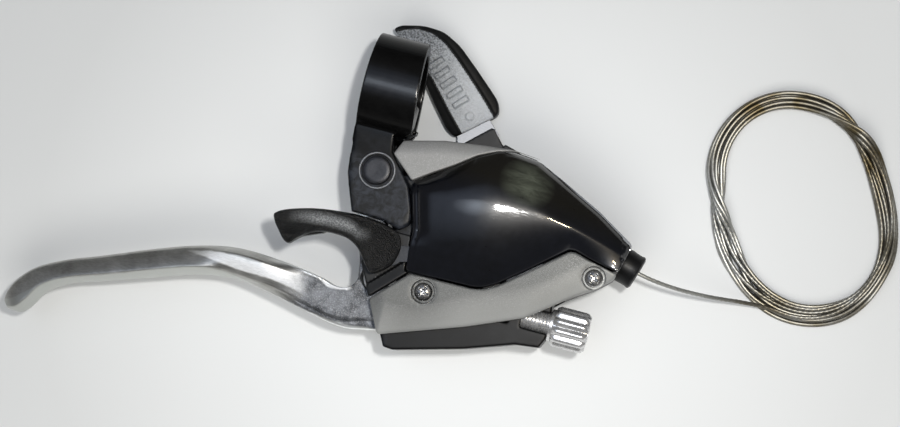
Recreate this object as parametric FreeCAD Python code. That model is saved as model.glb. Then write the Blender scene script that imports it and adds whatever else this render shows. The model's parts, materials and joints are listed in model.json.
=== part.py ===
"""Right-hand combined brake lever and trigger shifter for a flat bicycle handlebar, in millimetres.

The origin is the centre of the handlebar clamp. +X runs along the bar towards the bicycle's middle,
+Y points back to the rider and +Z is up, away from the table that the shifter pod lies on.
"""

import FreeCAD, Part
import math
import os

V = FreeCAD.Vector
UP = V(0, 0, 1)

# Handlebar clamp
BAR_R = 11.15
BAR_ROOM = 11.55
RING_R = 14.3
RING_HALF = 6.7
BOLT_Y = -14.0
BOLT_R = 2.5
BOLT_HEAD_R = 4.2

# Brake lever and its pivot
PIVOT = V(2.3, -22.9, 0)
PIN_R = 2.5
BUSH_R = 3.5
EYE_R = 6.0
ARM_HALF = 3.5
EAR_TOP = (4.2, 8.0)
EAR_BOTTOM = (-10.5, -6.2)
BLADE_DROOP = 5.0

# Brake cable line
CABLE_Y = -50.9
NIPPLE_X = 8.2
NIPPLE_R = 3.55
SCREW_R = 3.5
KNOB = (58.0, 67.6)
KNOB_R = 5.65
FLUTES = 12
CASING_R = 3.05

# Shifter stack, from the pod's floor to its nut
AXIS = V(28.0, -27.5, 0)
FLOOR_Z = -22.0
FLOOR_TOP = -20.3
THUMB_PLATE = (-19.6, -18.0)
FEED_LEVEL = (-16.6, -14.9)
DECK = (-14.0, -12.2)
BASE_PLATE = (-12.1, -11.0)
SPRING_LEVEL = (-10.7, -8.5)
DRUM = (-8.0, 0.0)
INDEX_LEVEL = (0.3, 2.3)
TOP_PLATE = (2.8, 4.0)
COVER_Z = 4.4
AXLE_R = 3.0
DRUM_R = 12.4
GROOVE_R = 10.0
HUB_R = 6.0
RUNNING = 0.06
POD_R = 22.2

# Gear wire
WIRE_R = 0.6
WIRE_Z = -4.0
NOSE_ANGLE = math.radians(-17.5)
WRAP_R = GROOVE_R + WIRE_R
NOSE_START = 43.0
COLLAR_LENGTH = 4.4
COIL_CENTRE = V(115.0, -1.5, 0)
COIL_AXES = (28.6, 22.4)
COIL_ANGLE = 115.5
COIL_BAND = 3.6
COIL_HEIGHT = 4.6

# Release trigger and pawls
TRIGGER = V(11.8, -43.6, 0)
TRIGGER_PIN_R = 1.2
LINK = (6.9, 7.9)
HOLD_PIN = V(41.5, -40.0, 0)
HOLD_ANGLE = -50
LINK_TAB = V(28.0, -39.6, 0)
FEED_ANGLE = 150
FEED_PIN_RADIUS = 14.6
RATCHET_R = 11.0
FEED_R = 9.6
TEETH = 20
PAWL_GAP = 0.15

COVER_SCREWS = (V(22.5, -51.1, 0), V(65.5, -36.2, 0))
POD_SCREW_ANGLES = (20, -60, -120)
POD_SCREW_RADIUS = 19.5

DOME_EDGE = [(12.2, -23.5), (17.1, -20.0), (22.2, -16.7), (27.6, -12.6), (32.4, -10.2), (36.6, -9.0),
             (43.7, -9.6), (50.7, -12.8), (62.9, -18.8), (73.2, -25.1), (71.3, -33.1), (63.5, -31.6),
             (59.1, -30.4), (57.4, -30.5), (48.6, -37.9), (41.2, -44.0), (38.0, -45.8), (35.3, -46.5),
             (16.6, -46.9), (15.8, -36.0)]
FRONT_EDGE = [(9.0, -56.5), (17.9, -47.3), (35.3, -47.0), (38.2, -46.3), (41.5, -44.4), (48.9, -38.3),
              (57.5, -31.0), (59.1, -30.8), (63.5, -32.0), (71.1, -33.7), (70.6, -35.3), (67.0, -38.7),
              (60.8, -42.8), (50.4, -51.0), (35.5, -57.3), (13.3, -65.2)]
TRIM_EDGE = [(5.4, -17.4), (7.1, -13.3), (17.9, -10.6), (29.0, -9.2), (36.8, -8.5), (44.0, -9.2),
             (36.6, -8.8), (32.3, -9.9), (27.4, -12.3), (22.0, -16.4), (16.9, -19.7), (12.0, -23.2)]
POD_EDGE = [(16.0, -11.2), (29.0, -9.4), (36.8, -9.1), (43.7, -9.7), (50.7, -12.9), (62.9, -18.9),
            (73.0, -25.2), (71.2, -33.1), (70.3, -35.2), (66.8, -38.4), (60.6, -42.6), (57.4, -45.0),
            (16.0, -45.0)]
BEAM_EDGE = [(13.6, -43.5), (13.6, -64.6), (15.4, -68.0), (18.0, -68.2), (36.4, -63.1), (49.4, -58.5),
             (55.8, -57.7), (57.0, -55.0), (56.5, -43.5)]


def polar(radius, degrees, centre=AXIS):
    """The point at this radius and angle from a centre, at height zero."""
    a = math.radians(degrees)
    return V(centre.x + radius * math.cos(a), centre.y + radius * math.sin(a), 0)


def prism(points, low, high):
    """A straight-sided block on a polygon of (x, y) points."""
    corners = [V(p[0], p[1], low) for p in points]
    return Part.Face(Part.makePolygon(corners + corners[:1])).extrude(V(0, 0, high - low))


def smooth_prism(points, low, high):
    """A block on a closed smooth curve through (x, y) points."""
    curve = Part.BSplineCurve()
    curve.interpolate([V(p[0], p[1], low) for p in points], PeriodicFlag=True)
    return Part.Face(Part.Wire(curve.toShape())).extrude(V(0, 0, high - low))


def inset_prism(points, distance, low, high):
    """The block on a polygon moved inwards by a distance."""
    corners = [V(p[0], p[1], low) for p in points]
    wire = Part.makePolygon(corners + corners[:1])
    moved = wire.makeOffset2D(-distance, 2, False, False, False)
    return Part.Face(moved).extrude(V(0, 0, high - low))


def rod(centre, radius, low, high):
    """An upright cylinder between two heights."""
    return Part.makeCylinder(radius, high - low, V(centre.x, centre.y, low))


def tube(centre, outer, inner, low, high):
    """An upright cylinder with a round bore."""
    return rod(centre, outer, low, high).cut(rod(centre, inner, low - 1, high + 1))


def bar_x(y, z, radius, left, right):
    """A cylinder along X."""
    return Part.makeCylinder(radius, right - left, V(left, y, z), V(1, 0, 0))


def bar_room(wall=0.0):
    """The space that the handlebar takes past the pod, with a wall's thickness round it."""
    return bar_x(0, 0, BAR_ROOM + wall, RING_HALF, 90)


def box(low, high):
    """A box between two opposite corners."""
    return Part.makeBox(high[0] - low[0], high[1] - low[1], high[2] - low[2], V(*low))


def straight(a, b, radius):
    """A round wire from one point to another."""
    return Part.makeCylinder(radius, (b - a).Length, a, b - a)


def group(shapes):
    """Several separate solids in one node."""
    return Part.makeCompound(shapes)


def coil_spring(centre, radius, wire_r, low, turns, leg_length):
    """A short torsion spring with one straight leg running on from each end."""
    pitch = 2.3 * wire_r
    helix = Part.makeHelix(pitch, pitch * turns, radius)
    helix.translate(V(centre.x, centre.y, low + wire_r))
    coil = helix.Edges[0]
    first, last = coil.firstVertex().Point, coil.lastVertex().Point
    way_in = coil.tangentAt(coil.FirstParameter)
    way_out = coil.tangentAt(coil.LastParameter)
    path = Part.Wire([Part.makeLine(first - way_in * leg_length, first), coil,
                      Part.makeLine(last, last + way_out * leg_length)])
    ring = Part.Wire(Part.makeCircle(wire_r, first - way_in * leg_length, way_in))
    return path.makePipeShell([ring], True, True)


def route(points, radius):
    """A tube of straight runs joined by tangent arcs, each as large as its two runs allow."""
    edges = []
    here = points[0]
    for before, corner, after in zip(points, points[1:], points[2:]):
        into = (corner - before).normalize()
        out = (after - corner).normalize()
        half = into.getAngle(out) / 2
        reach = 0.45 * min((corner - before).Length, (after - corner).Length)
        print("wire bend radius", round(reach / math.tan(half), 1))
        a = corner - into * reach
        b = corner + out * reach
        middle = corner + (out - into).normalize() * reach * (1 - math.cos(half)) / math.sin(half)
        edges += [Part.makeLine(here, a), Part.Arc(a, middle, b).toShape()]
        here = b
    edges.append(Part.makeLine(here, points[-1]))
    path = Part.Wire(edges)
    ring = Part.Wire(Part.makeCircle(radius, points[0], points[1] - points[0]))
    solid = path.makePipeShell([ring], True, False)
    print("wire volume", round(solid.Volume, 2), "of", round(path.Length * math.pi * radius ** 2, 2))
    return solid


def save(name, shape):
    """Writes one node's STEP file and names any shape that isn't sound."""
    if not shape.isValid() or shape.Volume <= 0:
        print("UNSOUND", name)
    shape.exportStep("parts/" + name + ".step")


def bracket():
    """The cast body: clamp ring, two ears for the brake lever, cable channel and shifter deck."""
    ring = bar_x(0, 0, RING_R, -RING_HALF, RING_HALF)
    neck = box((-RING_HALF, -16.6, EAR_BOTTOM[0]), (4.2, -11.5, EAR_TOP[1]))
    ear = [(-6.7, -12.0), (-6.0, -19.5), (-5.6, -25.0), (-1.6, -35.2), (7.0, -35.2), (11.9, -36.9),
           (14.4, -34.8), (14.4, -32.6), (11.5, -25.0), (4.9, -16.9), (4.2, -12.0)]
    low_ear = ear[:6] + [(14.4, -34.8), (14.4, -20.0), (4.2, -12.0)]
    web = prism([(10.2, -20.4), (10.2, -46.4), (15.4, -46.4), (15.4, -33.0), (14.4, -33.0), (14.4, -20.4)],
                DECK[0], 3.6)
    link = prism([(9.6, -22.0), (14.4, -20.4), (14.4, -33.0), (10.2, -33.0)], 3.0, EAR_TOP[0] + 0.1)
    deck = prism([(10.2, -20.0), (15.8, -11.5), (43.0, -9.9), (56.0, -16.2), (69.0, -24.0), (69.0, -35.4),
                  (62.0, -40.8), (56.5, -46.0), (10.2, -46.0)], *DECK)
    beam = prism(BEAM_EDGE, -9.5, 3.8)
    back_wall = box((13.6, -48.4, DECK[0]), (56.5, -44.0, 3.0))
    body = ring.fuse([neck, prism(ear, *EAR_TOP), prism(low_ear, *EAR_BOTTOM), web, link, deck, beam,
                      back_wall])
    trough = box((10, CABLE_Y - 2.5, -3.0), (46, CABLE_Y + 2.5, 2.0))
    open_left = box((10, CABLE_Y - 2.5, 0), (18, CABLE_Y + 2.5, 9))
    open_right = box((26, CABLE_Y - 2.5, 0), (46, CABLE_Y + 2.5, 9))
    thread_view = box((49.5, CABLE_Y - 2.7, 0), (60, CABLE_Y + 2.7, 9))
    holes = [bar_x(0, 0, BAR_R, -20, 20), trough, open_left, open_right, thread_view,
             bar_x(CABLE_Y, 0, SCREW_R + RUNNING, 40, 60), rod(PIVOT, PIN_R, -20, 20),
             rod(AXIS, HUB_R + 0.6, -20, -11), box((-8, -21, -3.9), (8, 0, -2.3)),
             rod(V(0, BOLT_Y, 0), BOLT_R, -9.5, 2.0), rod(V(0, BOLT_Y, 0), BOLT_HEAD_R + 0.2, -18, -9.5),
             rod(TRIGGER, TRIGGER_PIN_R, 0, 5), bar_x(-30, 0, 2.0, 5, 20),
             box((25.0, -46.8, -0.2), (37.0, -43.0, 9))]
    holes.append(rod(COVER_SCREWS[0], 1.2, -3, 9))
    holes += [rod(polar(POD_SCREW_RADIUS, a), 1.2, -20, -11) for a in POD_SCREW_ANGLES]
    return body.cut(holes)


def pivot_pin():
    """The brake lever's domed pivot pin."""
    head = rod(PIVOT, 3.8, EAR_TOP[1] + 0.5, EAR_TOP[1] + 2.0)
    head = head.makeFillet(0.9, [head.Edges[0]])
    flange = rod(PIVOT, 2.8, EAR_TOP[1], EAR_TOP[1] + 0.5)
    return rod(PIVOT, PIN_R, EAR_BOTTOM[0] - 1.5, EAR_TOP[1]).fuse([flange, head])


def blade_section(upper, lower, half_height, centre_z):
    """A rounded slice across the lever blade between its two edges."""
    a = V(upper[0], upper[1], 0)
    b = V(lower[0], lower[1], 0)
    middle = (a + b) * 0.5
    side = (a - b) * 0.5
    corners = [(1, 0.0), (0.93, 0.55), (0.62, 0.93), (0, 1.0), (-0.62, 0.93), (-0.93, 0.55),
               (-1, 0.0), (-0.93, -0.55), (-0.62, -0.93), (0, -1.0), (0.62, -0.93), (0.93, -0.55)]
    curve = Part.BSplineCurve()
    curve.interpolate([middle + side * c[0] + V(0, 0, centre_z + half_height * c[1]) for c in corners],
                      PeriodicFlag=True)
    return Part.Wire(curve.toShape())


def brake_lever():
    """The cast blade, its arm and the eye that turns on the pivot pin."""
    pairs = [((-90.7, -82.3), (-88.7, -84.6), 1.8), ((-90.2, -79.0), (-85.0, -84.6), 3.2),
             ((-88.0, -75.0), (-82.6, -81.9), 4.0), ((-83.2, -70.9), (-79.0, -76.6), 4.4),
             ((-76.0, -67.2), (-73.2, -73.3), 4.6), ((-66.4, -63.6), (-63.6, -70.1), 4.8),
             ((-53.8, -58.6), (-51.2, -65.9), 5.0), ((-41.5, -54.4), (-39.8, -62.2), 5.0),
             ((-30.0, -52.2), (-29.6, -60.6), 5.0), ((-16.9, -52.7), (-17.5, -62.2), 4.8),
             ((-6.0, -54.2), (-7.0, -64.1), 4.2)]
    sections = []
    for upper, lower, half_height in pairs:
        droop = BLADE_DROOP * min(1.0, max(0.0, (-10.0 - upper[0]) / 78.0)) ** 1.5
        sections.append(blade_section(upper, lower, half_height, -0.6 - droop))
    blade = Part.makeLoft(sections, True, False)
    root = prism([(-7.5, -54.0), (-1.1, -55.4), (1.5, -54.9), (3.4, -53.3), (4.1, -50.7), (12.6, -48.8),
                  (12.6, -54.0), (11.4, -58.0), (11.4, -64.4), (6.3, -65.4), (2.4, -65.7), (-8.5, -64.0)],
                 -4.4, ARM_HALF)
    arm = prism([(-3.6, -25.5), (0.6, -40.0), (3.3, -47.0), (4.1, -52.0), (12.6, -53.0), (12.6, -48.8),
                 (11.6, -47.5), (9.8, -46.6), (7.6, -36.0), (8.2, -25.5)], -ARM_HALF, ARM_HALF)
    lever = blade.fuse([root, arm, rod(PIVOT, EYE_R, -ARM_HALF, ARM_HALF)])
    nipple = V(NIPPLE_X, CABLE_Y, 0)
    slot = box((NIPPLE_X, CABLE_Y - 0.9, -9), (20, CABLE_Y + 0.9, 9))
    return lever.cut([rod(PIVOT, BUSH_R, -9, 9), rod(nipple, NIPPLE_R, -9, 9), slot])


def knob():
    """The brake cable adjuster: a fluted barrel with a hollow screw."""
    barrel = bar_x(CABLE_Y, 0, KNOB_R, *KNOB)
    barrel = barrel.makeChamfer(1.2, [e for e in barrel.Edges if e.Length > 30])
    step = 360 / FLUTES
    flutes = [bar_x(CABLE_Y + (KNOB_R + 0.35) * math.cos(math.radians(i * step)),
                    (KNOB_R + 0.35) * math.sin(math.radians(i * step)), 0.95, 50, 70) for i in range(FLUTES)]
    barrel = barrel.cut(flutes)
    neck = bar_x(CABLE_Y, 0, 4.3, KNOB[0] - 0.9, KNOB[0])
    screw = bar_x(CABLE_Y, 0, SCREW_R, 46.5, KNOB[0])
    mouth = bar_x(CABLE_Y, 0, CASING_R, KNOB[1] - 6.0, KNOB[1] + 1)
    return barrel.fuse([neck, screw]).cut([bar_x(CABLE_Y, 0, 1.5, 40, 70), mouth])


def ellipsoid(centre, axes):
    """A ball stretched to three half-lengths."""
    ball = Part.makeSphere(1.0)
    stretch = FreeCAD.Matrix()
    stretch.scale(V(*axes))
    stretch.move(V(*centre))
    return ball.transformGeometry(stretch)


def dome_cover():
    """The glossy shell over the shifter, with a notch where the release link enters."""
    centre = (34.0, -30.0, -6.0)
    wall = 1.5
    outer = prism(DOME_EDGE, COVER_Z, 16).common(ellipsoid(centre, (47.0, 27.0, 20.0)))
    inner = inset_prism(DOME_EDGE, wall, COVER_Z - 1, 16).common(ellipsoid(centre, (45.5, 25.5, 18.5)))
    outer = outer.cut(bar_room())
    inner = inner.cut(bar_room(wall))
    notch = box((10, -47.2, 4), (24, -35, 8.6))
    return outer.cut([inner, notch])


def shell(edge, low, high, wall):
    """A flat lid with a skirt of the same wall thickness."""
    outer = prism(edge, low, high)
    top = [e for e in outer.Edges if abs(e.BoundBox.ZMin - high) < 1e-6 and e.BoundBox.ZLength < 1e-6]
    outer = outer.makeChamfer(0.5, top)
    return outer.cut(inset_prism(edge, wall, low - 1, high - wall))


def front_cover():
    """The painted cover over the brake cable channel, with two sunk screw seats."""
    cover = shell(FRONT_EDGE, COVER_Z, 8.4, 1.5)
    seats = [rod(s, 3.9, COVER_Z, 8.0) for s in COVER_SCREWS]
    cover = cover.fuse([s.common(prism(FRONT_EDGE, COVER_Z, 8.0)) for s in seats])
    holes = [rod(s, 3.0, 6.2, 12) for s in COVER_SCREWS] + [rod(s, 1.4, 0, 12) for s in COVER_SCREWS]
    return cover.cut(holes)


def screw(place, head_r, head, tip):
    """A pan-head cross-recess screw pointing down."""
    body = rod(place, head_r, head[0], head[1]).fuse(rod(place, 1.2, tip, head[0]))
    cross = [box((place.x - a, place.y - b, head[1] - 0.9), (place.x + a, place.y + b, head[1] + 1))
             for a, b in ((1.5, 0.35), (0.35, 1.5))]
    return body.cut(cross)


def ratchet(radius, depth, level, bore):
    """A saw-toothed ring."""
    points = []
    for i in range(TEETH):
        points.append(polar(radius, i * 360 / TEETH))
        points.append(polar(radius - depth, i * 360 / TEETH + 1.0))
    return prism(points, *level).cut(rod(AXIS, bore, -30, 30))


def cable_drum():
    """The grooved wire drum with its hub, which runs on the axle down to the feed ratchet."""
    low, high = DRUM
    drum = rod(AXIS, DRUM_R, low, high).fuse(rod(AXIS, HUB_R, FEED_LEVEL[0], INDEX_LEVEL[1]))
    groove = tube(AXIS, DRUM_R + 1, GROOVE_R, WIRE_Z - 1.0, WIRE_Z + 1.0)
    pocket = rod(polar(GROOVE_R, 145), 2.3, WIRE_Z - 2.6, high + 1)
    return drum.cut([groove, pocket, rod(AXIS, AXLE_R + RUNNING, -30, 30)])


def wire_wrap():
    """The stretch of gear wire that lies in the drum's groove."""
    ring = Part.makeTorus(WRAP_R, WIRE_R, V(AXIS.x, AXIS.y, WIRE_Z), UP, 0, 360, 56)
    ring.rotate(AXIS, UP, 90 + math.degrees(NOSE_ANGLE))
    return ring


def wire_frame():
    """Where the gear wire leaves the drum, and the way it points."""
    way = V(math.cos(NOSE_ANGLE), math.sin(NOSE_ANGLE), 0)
    start = V(AXIS.x - WRAP_R * way.y, AXIS.y + WRAP_R * way.x, WIRE_Z)
    return start, way


def nose_collar():
    """The black barrel end that the gear wire comes out of."""
    start, way = wire_frame()
    face = start + way * (NOSE_START - 0.6)
    body = Part.makeCylinder(4.8, COLLAR_LENGTH, face, way)
    body = body.makeChamfer(0.7, [e for e in body.Edges if e.Length > 20])
    neck = Part.makeCylinder(3.4, 4.0, face - way * 4.0, way)
    mouth = Part.makeCylinder(2.6, 3.4, face + way * 1.4, way)
    return body.fuse(neck).cut([Part.makeCylinder(0.9, 12, face - way * 5, way), mouth])


def mid_housing():
    """The black side wall between the deck and the covers, open where the cast web closes it."""
    start, way = wire_frame()
    low, high = DECK[1] + 0.1, COVER_Z - 0.2
    thick = 1.5
    inside = inset_prism(POD_EDGE, thick, low - 1, high + 1).cut(bar_room(thick))
    wall = prism(POD_EDGE, low, high).cut(bar_room()).cut(inside)
    wall = wall.cut(box((0, -48, -20), (59, -42.8, 9)))
    wall = wall.cut(box((0, -60, -20), (17.6, 0, 9)))
    boss = rod(COVER_SCREWS[1], 3.0, low, high).common(prism(POD_EDGE, low, high))
    neck_hole = Part.makeCylinder(3.45, 14, start + way * (NOSE_START - 9), way)
    flange_room = Part.makeCylinder(4.9, 8, start + way * (NOSE_START - 0.65), way)
    return wall.fuse(boss).cut([neck_hole, flange_room, rod(COVER_SCREWS[1], 1.2, -3, 9)])


def bottom_cover():
    """The pod's black floor and side wall, with a gap for the thumb lever's swing."""
    lobe = prism([(30, -6.5), (41.5, -7.6), (56, -18), (65, -26), (64, -34), (54, -44), (38, -48)],
                 FLOOR_Z, DECK[0] - 0.1)
    core = rod(AXIS, POD_R, FLOOR_Z, DECK[0] - 0.1).fuse(lobe).removeSplitter()
    room = rod(AXIS, POD_R - 1.6, FLOOR_TOP, 0)
    gap = prism([(AXIS.x, AXIS.y)] + [polar(32, a)[:2] for a in range(80, 171, 15)], FLOOR_TOP, 0)
    cover = core.cut([room, gap])
    places = [polar(POD_SCREW_RADIUS, a) for a in POD_SCREW_ANGLES]
    cover = cover.fuse([rod(p, 2.6, FLOOR_TOP, DECK[0] - 0.1) for p in places])
    holes = [rod(p, 1.3, -30, 0) for p in places] + [rod(p, 2.5, -30, FLOOR_Z + 1.4) for p in places]
    return cover.cut(holes)


def pod_screws():
    """Three screws that hold the bottom cover to the deck."""
    screws = []
    for a in POD_SCREW_ANGLES:
        place = polar(POD_SCREW_RADIUS, a)
        head = rod(place, 2.3, FLOOR_Z + 0.4, FLOOR_Z + 1.4)
        screws.append(head.fuse(rod(place, 1.2, FLOOR_Z + 1.4, DECK[1])))
    return group(screws)


def base_plate():
    """The steel plate on the deck that carries the posts and the holding pawl."""
    plate = prism([(17, -12.8), (42.5, -11.6), (50.5, -15.6), (50.5, -36), (44, -43.4), (17, -43.4)],
                  *BASE_PLATE)
    return plate.cut(rod(AXIS, HUB_R + 0.6, -20, 0))


def top_plate():
    """The steel plate over the drum."""
    plate = prism([(22, -15), (26, -13.4), (40, -13.4), (49, -18), (49, -33), (44.5, -42.6),
                   (20, -43.2), (18, -30)], *TOP_PLATE)
    slot = box((26.4, -50, 0), (30.4, -38.4, 9))
    return plate.cut([slot, rod(AXIS, AXLE_R, -9, 9)] + [rod(p, 0.9, -9, 9) for p in posts()])


def posts():
    """Where the posts between the two steel plates stand."""
    return [V(24.0, -42.0, 0), V(45.6, -31.0, 0), V(41.0, -16.4, 0)]


def plate_posts():
    """Shouldered posts that hold the two plates apart."""
    low, high = TOP_PLATE
    return group([rod(p, 1.4, BASE_PLATE[1], low).fuse(rod(p, 0.9, low, high + 0.3)) for p in posts()])


def main_axle():
    """The headed axle that the thumb lever and the drum turn on."""
    head = rod(AXIS, 5.4, -20.2, -19.7)
    return head.fuse(rod(AXIS, AXLE_R, -19.7, 9.0))


def axle_nut():
    """The hexagon nut that closes the stack."""
    points = [polar(4.6, 60 * i) for i in range(6)]
    return prism(points, 4.9, 8.0).cut(rod(AXIS, AXLE_R, -9, 20))


def drum_spring():
    """The flat spiral spring that pulls the drum back when a pawl lets go."""
    points_out = []
    points_in = []
    for i in range(0, 73):
        radius = 6.4 + i * 4.9 / 72
        points_out.append(polar(radius + 0.2, i * 15))
        points_in.append(polar(radius - 0.2, i * 15))
    outer = Part.BSplineCurve()
    outer.interpolate([p + V(0, 0, SPRING_LEVEL[0]) for p in points_out])
    inner = Part.BSplineCurve()
    inner.interpolate([p + V(0, 0, SPRING_LEVEL[0]) for p in points_in])
    a, b = outer.toShape(), inner.toShape()
    ends = [Part.makeLine(inner.StartPoint, outer.StartPoint), Part.makeLine(outer.EndPoint, inner.EndPoint)]
    face = Part.Face(Part.Wire(Part.__sortEdges__([a, ends[1], b, ends[0]])))
    return face.extrude(V(0, 0, SPRING_LEVEL[1] - SPRING_LEVEL[0]))


def thumb_plate():
    """The steel thumb lever: a hub on the axle, a lug for the feed pawl and the long arm."""
    pawl_lug = polar(FEED_PIN_RADIUS, FEED_ANGLE)
    low, high = THUMB_PLATE
    hub = rod(AXIS, 7.5, low, high)
    lug = rod(pawl_lug, 2.6, low, high)
    bridge = prism([polar(7.4, 108)[:2], polar(7.4, 192)[:2], polar(FEED_PIN_RADIUS + 2.2, 157)[:2],
                    polar(FEED_PIN_RADIUS + 2.2, 143)[:2]], low, high)
    arm = prism([(22.0, -24.0), (34.6, -24.0), (29.2, -3.0), (24.0, 2.0), (12.0, 13.0), (4.0, 15.5),
                 (0.0, 15.0), (11.5, 0.5), (18.2, -6.6)], low, high)
    return hub.fuse([lug, bridge, arm]).removeSplitter().cut(rod(AXIS, AXLE_R + RUNNING, -30, 0))


def thumb_pad():
    """The moulded paddle on the thumb lever's arm, with a sunk face and raised grip bars."""
    edge = [(-6.8, 18.4), (-4.9, 19.8), (1.3, 21.2), (7.2, 20.9), (12.6, 18.2), (19.6, 12.3), (26.8, 5.9),
            (28.0, 2.2), (17.6, -6.9), (14.9, -5.6), (8.6, 2.0), (2.5, 10.0)]
    low, high = -21.4, -15.4
    pad = prism(edge, low, high)
    sunk = inset_prism(edge, 1.4, high - 0.7, high + 1)
    bars = []
    for i in range(4):
        middle = V(8.0 + 3.2 * i, 10.4 - 3.6 * i, high - 0.6)
        bar = Part.makeBox(6.4, 1.0, 0.5, V(-3.2, -0.5, 0))
        bar.rotate(V(0, 0, 0), UP, 42)
        bar.translate(middle)
        bars.append(bar.cut(rod(middle, 0.01, 0, 1)))
    pad = pad.cut(sunk)
    return pad.fuse([b.translated(V(0, 0, -0.1)) for b in bars]).cut(thumb_plate())


def feed_pawl():
    """The pawl that the thumb lever drives the drum with."""
    pin = polar(FEED_PIN_RADIUS, FEED_ANGLE)
    tip = polar(FEED_R + PAWL_GAP, FEED_ANGLE + 52)
    heel = polar(FEED_R + PAWL_GAP + 1.9, FEED_ANGLE + 52)
    low, high = FEED_LEVEL[0] + 0.1, FEED_LEVEL[1] - 0.1
    root_angle, bend_angle = FEED_ANGLE + 3, FEED_ANGLE + 28
    outline = [polar(FEED_PIN_RADIUS - 2.0, root_angle), polar(FEED_PIN_RADIUS + 2.0, root_angle),
               polar(FEED_PIN_RADIUS - 0.2, bend_angle), heel, tip, polar(FEED_R + 1.3, bend_angle)]
    body = prism([p[:2] for p in outline], low, high)
    eye = rod(pin, 2.2, low, high)
    return eye.fuse(body).removeSplitter().cut(rod(pin, 1.0 + RUNNING, -30, 0))


def holding_pawl():
    """The pawl that holds the drum at each gear until the trigger's link pushes its tail."""
    low, high = INDEX_LEVEL[0] + 0.1, INDEX_LEVEL[1] - 0.1
    tip = polar(RATCHET_R + PAWL_GAP, HOLD_ANGLE)
    heel = polar(RATCHET_R + PAWL_GAP + 2.0, HOLD_ANGLE)
    nose = prism([(41.9, -37.7), tip[:2], heel[:2], (40.0, -41.8)], low, high)
    tail = prism([(40.0, -38.6), (32.0, -40.4), (26.6, -40.6), (26.6, -42.0), (33.0, -42.2), (41.0, -42.3)],
                 low, high)
    pawl = rod(HOLD_PIN, 2.4, low, high).fuse([nose, tail]).removeSplitter()
    return pawl.cut(rod(HOLD_PIN, 1.2 + RUNNING, -9, 9))


def release_trigger():
    """The moulded finger trigger above the bracket."""
    edge = [(-20.6, -43.2), (-20.2, -41.6), (-18.4, -40.5), (-10.7, -37.6), (-3.3, -36.1), (4.5, -36.5),
            (11.3, -38.2), (14.4, -41.0), (14.0, -45.2), (10.8, -48.6), (8.3, -49.8), (5.2, -46.6),
            (0.1, -43.6), (-4.6, -43.0), (-8.8, -44.0), (-12.7, -46.0), (-15.6, -48.1), (-18.5, -46.4)]
    body = smooth_prism(edge, 8.3, 14.2)
    grip = [(-20.2, -42.9), (-18.4, -41.0), (-10.7, -38.0), (-6.6, -37.2), (-6.6, -43.0), (-12.7, -45.6),
            (-15.6, -47.6)]
    return body.fuse(prism(grip, 5.6, 9.0)).cut(rod(TRIGGER, TRIGGER_PIN_R + RUNNING, 0, 20))


def release_link():
    """The steel arm under the trigger that reaches in to the holding pawl."""
    low, high = LINK
    arm = prism([(TRIGGER.x, TRIGGER.y + 2.6), (TRIGGER.x + 1.5, TRIGGER.y - 1.8), (28.6, -41.2),
                 (28.6, -38.2)], low, high)
    tab = rod(LINK_TAB, 0.8, INDEX_LEVEL[0] + 0.1, low)
    link = rod(TRIGGER, 3.0, low, high).fuse([arm, tab]).removeSplitter()
    return link.cut(rod(TRIGGER, TRIGGER_PIN_R + RUNNING, 0, 20))


def trigger_pin():
    """The headed pin that the release trigger turns on."""
    return rod(TRIGGER, TRIGGER_PIN_R, 0, 14.4).fuse(rod(TRIGGER, 2.0, 14.4, 15.0))


def side_cover():
    """The black plate beside the trigger's root, with its smoked edge along the front cover."""
    plate = prism([(4.0, -47.2), (8.6, -56.0), (17.3, -47.1), (16.2, -46.9), (15.4, -37.4), (10.4, -37.4),
                   (8.4, -41.0)], COVER_Z - 0.5, 6.6)
    return plate.cut([rod(TRIGGER, 3.3, 0, 9), box((10.1, -48, 0), (15.5, -33, 3.7))])


def clamp_bolt():
    """The socket-head bolt that closes the handlebar clamp."""
    place = V(0, BOLT_Y, 0)
    bolt = rod(place, BOLT_HEAD_R, -14.2, -9.5).fuse(rod(place, BOLT_R, -9.5, 1.8))
    socket = prism([polar(2.9, 60 * i, place)[:2] for i in range(6)], -15, -11.6)
    return bolt.cut(socket)


def gear_wire_route():
    """The free gear wire's points from the nose to the coil."""
    start, way = wire_frame()
    return [start + way * NOSE_START, start + way * (NOSE_START + 5.5), V(87.0, -32.9, -7.4),
            V(97.0, -32.5, -12.0), V(107.0, -31.5, -16.2), V(113.0, -30.2, -18.2)]


def gear_wire_coil():
    """The outer shape of the hank that the rest of the gear wire is wound into."""
    long_axis, short_axis = COIL_AXES
    low = FLOOR_Z
    outer = Part.Ellipse(V(0, 0, low), long_axis + COIL_BAND, short_axis + COIL_BAND).toShape()
    inner = Part.Ellipse(V(0, 0, low), long_axis - COIL_BAND, short_axis - COIL_BAND).toShape()
    height = V(0, 0, COIL_HEIGHT)
    ring = Part.Face(Part.Wire(outer)).extrude(height).cut(Part.Face(Part.Wire(inner)).extrude(height))
    ring.rotate(V(0, 0, 0), UP, COIL_ANGLE)
    return ring.translated(COIL_CENTRE)


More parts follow.
